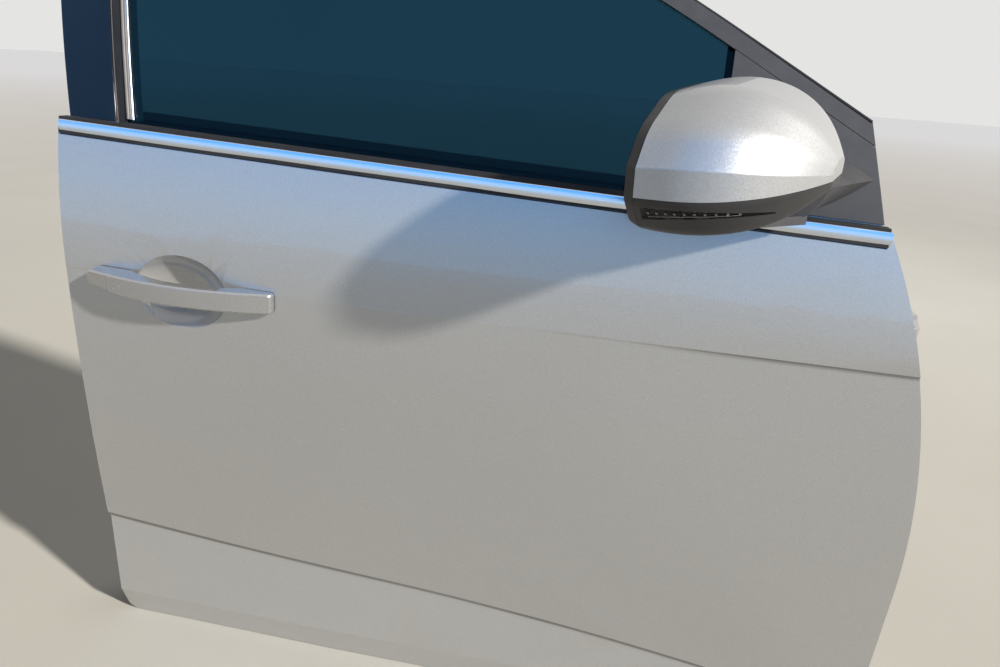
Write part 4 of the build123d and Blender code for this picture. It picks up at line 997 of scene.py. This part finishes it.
class DOOR_OT_handle(bpy.types.Operator):
    """Makes the pull handle with its lock cap and rubber pads"""

    bl_idname = "door.handle"
    bl_label = "Pull handle"

    def execute(self, context):
        soften("handle_bar", "pull_handle", "grip", "handle_paint", 0.0014, 20, 40)
        soften("handle_lock_cap", "lock_cap", "grip", "handle_paint", 0.0014, 20, 40)
        soften("handle_pad_rear", "rear_handle_pad", "seal", "rubber_seals", 0.0002)
        soften("handle_pad_front", "front_handle_pad", "seal", "rubber_seals", 0.0002)
        outline = []
        for step in range(33):
            angle = 2 * math.pi * step / 32 - math.pi / 2
            across, up = (
                math.copysign(abs(share) ** TOUCH_SQUARENESS, share)
                for share in (math.cos(angle), math.sin(angle))
            )
            x = TOUCH_CENTRE[0] + TOUCH_HALF[0] * across
            z = TOUCH_CENTRE[1] + TOUCH_HALF[1] * up
            place, normal = on_node("handle_bar", (x, -0.3, z), (0, 1, 0))
            outline.append(place + normal * 0.0001)
        bead("lock_touch_rim", outline, 0.0004, "grip", "handle_paint")
        return {"FINISHED"}


class DOOR_OT_inside(bpy.types.Operator):
    """Makes the door card, its armrest, grille, release and switches"""

    bl_idname = "door.inside"
    bl_label = "Inside trim"

    def execute(self, context):
        soften("door_card", "moulded_card", "trim", "card_dark", 0.0015)
        roll = soften("waist_roll", "padded_waist_roll", "soft", "card_dark", 0.002)
        soften("sail_lining", "sail_inner_cover", "trim", "card_dark", 0.001)
        rest = soften("armrest", "armrest_pad", "soft", "armrest_skin", 0.0035, 30)
        soften("speaker_grille", "round_speaker_grille", "grille", "grille_dark", 0.0006)
        soften("release_bezel", "release_cup", "dark", "trim_satin", 0.0006)
        soften("release_lever", "inside_release", "satin", "trim_satin", 0.0008)
        soften("window_switches", "switch_plate", "gloss", "switch_black", 0.0005)
        bpy.ops.object.select_all(action="DESELECT")
        bpy.ops.mesh.primitive_uv_sphere_add(segments=8, ring_count=6, radius=1.0, location=(0, 0, 0))
        stitch = context.object
        sized(stitch, (0.0021, 0.00055, 0.00055))
        bpy.ops.object.shade_smooth()
        seam = [FIRST_STITCH + STITCH_STEP * step for step in range(STITCHES)]
        spots = [((x, seam_y(x), STITCH_Z), None) for x in seam]
        settle_copies(stitch, spots, "armrest_stitching", "thread", "armrest_skin")
        # The beads' ends are (x, z)
        for name, rear, front, radius, finish, slot in (
            ("card_bright_bead", (-0.905, 0.176), (-0.365, 0.214), 0.0022, "satin", "trim_satin"),
            ("card_lower_bead", (-0.905, 0.166), (-0.365, 0.204), 0.0012, "gloss", "switch_black"),
        ):
            line = []
            for step in range(13):
                share = step / 12
                x = rear[0] + (front[0] - rear[0]) * share
                z = rear[1] + (front[1] - rear[1]) * share + 0.010 * math.sin(math.pi * share)
                place, _ = on_node("door_card", (x, 0.4, z), (0, -1, 0))
                line.append(place + Vector((0, 0.0002, 0)))
            bead(name, line, radius, finish, slot)
        return {"FINISHED"}


class DOOR_OT_hardware(bpy.types.Operator):
    """Makes the hinges, the latch with its screws, and the rubber plugs"""

    bl_idname = "door.hardware"
    bl_label = "Hinges and latch"

    def execute(self, context):
        for end in ("upper", "lower"):
            soften(
                f"hinge_pillar_leaf_{end}", f"pillar_leaf_{end}", "inside", "hinge_steel", 0.0006,
                body="pillar",
            )
            soften(f"hinge_door_leaf_{end}", f"door_leaf_{end}", "inside", "hinge_steel", 0.0006)
        soften("latch", "latch_case", "steel", "latch_steel", 0.0006)
        spots = []
        for y, z in SCREWS_AT:
            place, _ = on_node("inner_panel", (-1.2, y, z), (1, 0, 0))
            spots.append((place, (-1, 0, 0)))
        settle_copies(star_screw(*SCREW), spots, "latch_screws", "steel", "latch_steel")
        spots = []
        for start, aim in PLUG_LINES:
            place, _ = on_node("inner_panel", start, (aim, 0, 0))
            spots.append((place, (-aim, 0, 0)))
        settle_copies(round_plug(*PLUG), spots, "rubber_plugs", "seal", "rubber_seals")
        return {"FINISHED"}


class DOOR_PT_panel(bpy.types.Panel):
    """Lists the door's steps and colours"""

    bl_label = "Estate car front door"
    bl_idname = "DOOR_PT_panel"
    bl_space_type = "VIEW_3D"
    bl_region_type = "UI"
    bl_category = "Door"

    def draw(self, context):
        for step in STEPS:
            self.layout.operator(step)
        for name in DoorColours.__annotations__:
            self.layout.prop(context.scene.door_colours, name)


CLASSES = (
    DoorColours, DOOR_OT_stage, DOOR_OT_finishes, DOOR_OT_outside, DOOR_OT_mirror, DOOR_OT_handle,
    DOOR_OT_inside, DOOR_OT_hardware, DOOR_PT_panel,
)
STEPS = (
    "door.stage", "door.finishes", "door.outside", "door.mirror", "door.handle", "door.inside",
    "door.hardware",
)


def register():
    for cls in CLASSES:
        bpy.utils.register_class(cls)
    bpy.types.Scene.door_colours = bpy.props.PointerProperty(type=DoorColours)


def unregister():
    del bpy.types.Scene.door_colours
    for cls in reversed(CLASSES):
        bpy.utils.unregister_class(cls)


def main():
    register()
    for step in STEPS:
        group, name = step.split(".")
        getattr(getattr(bpy.ops, group), name)()


if __name__ == "__main__":
    main()
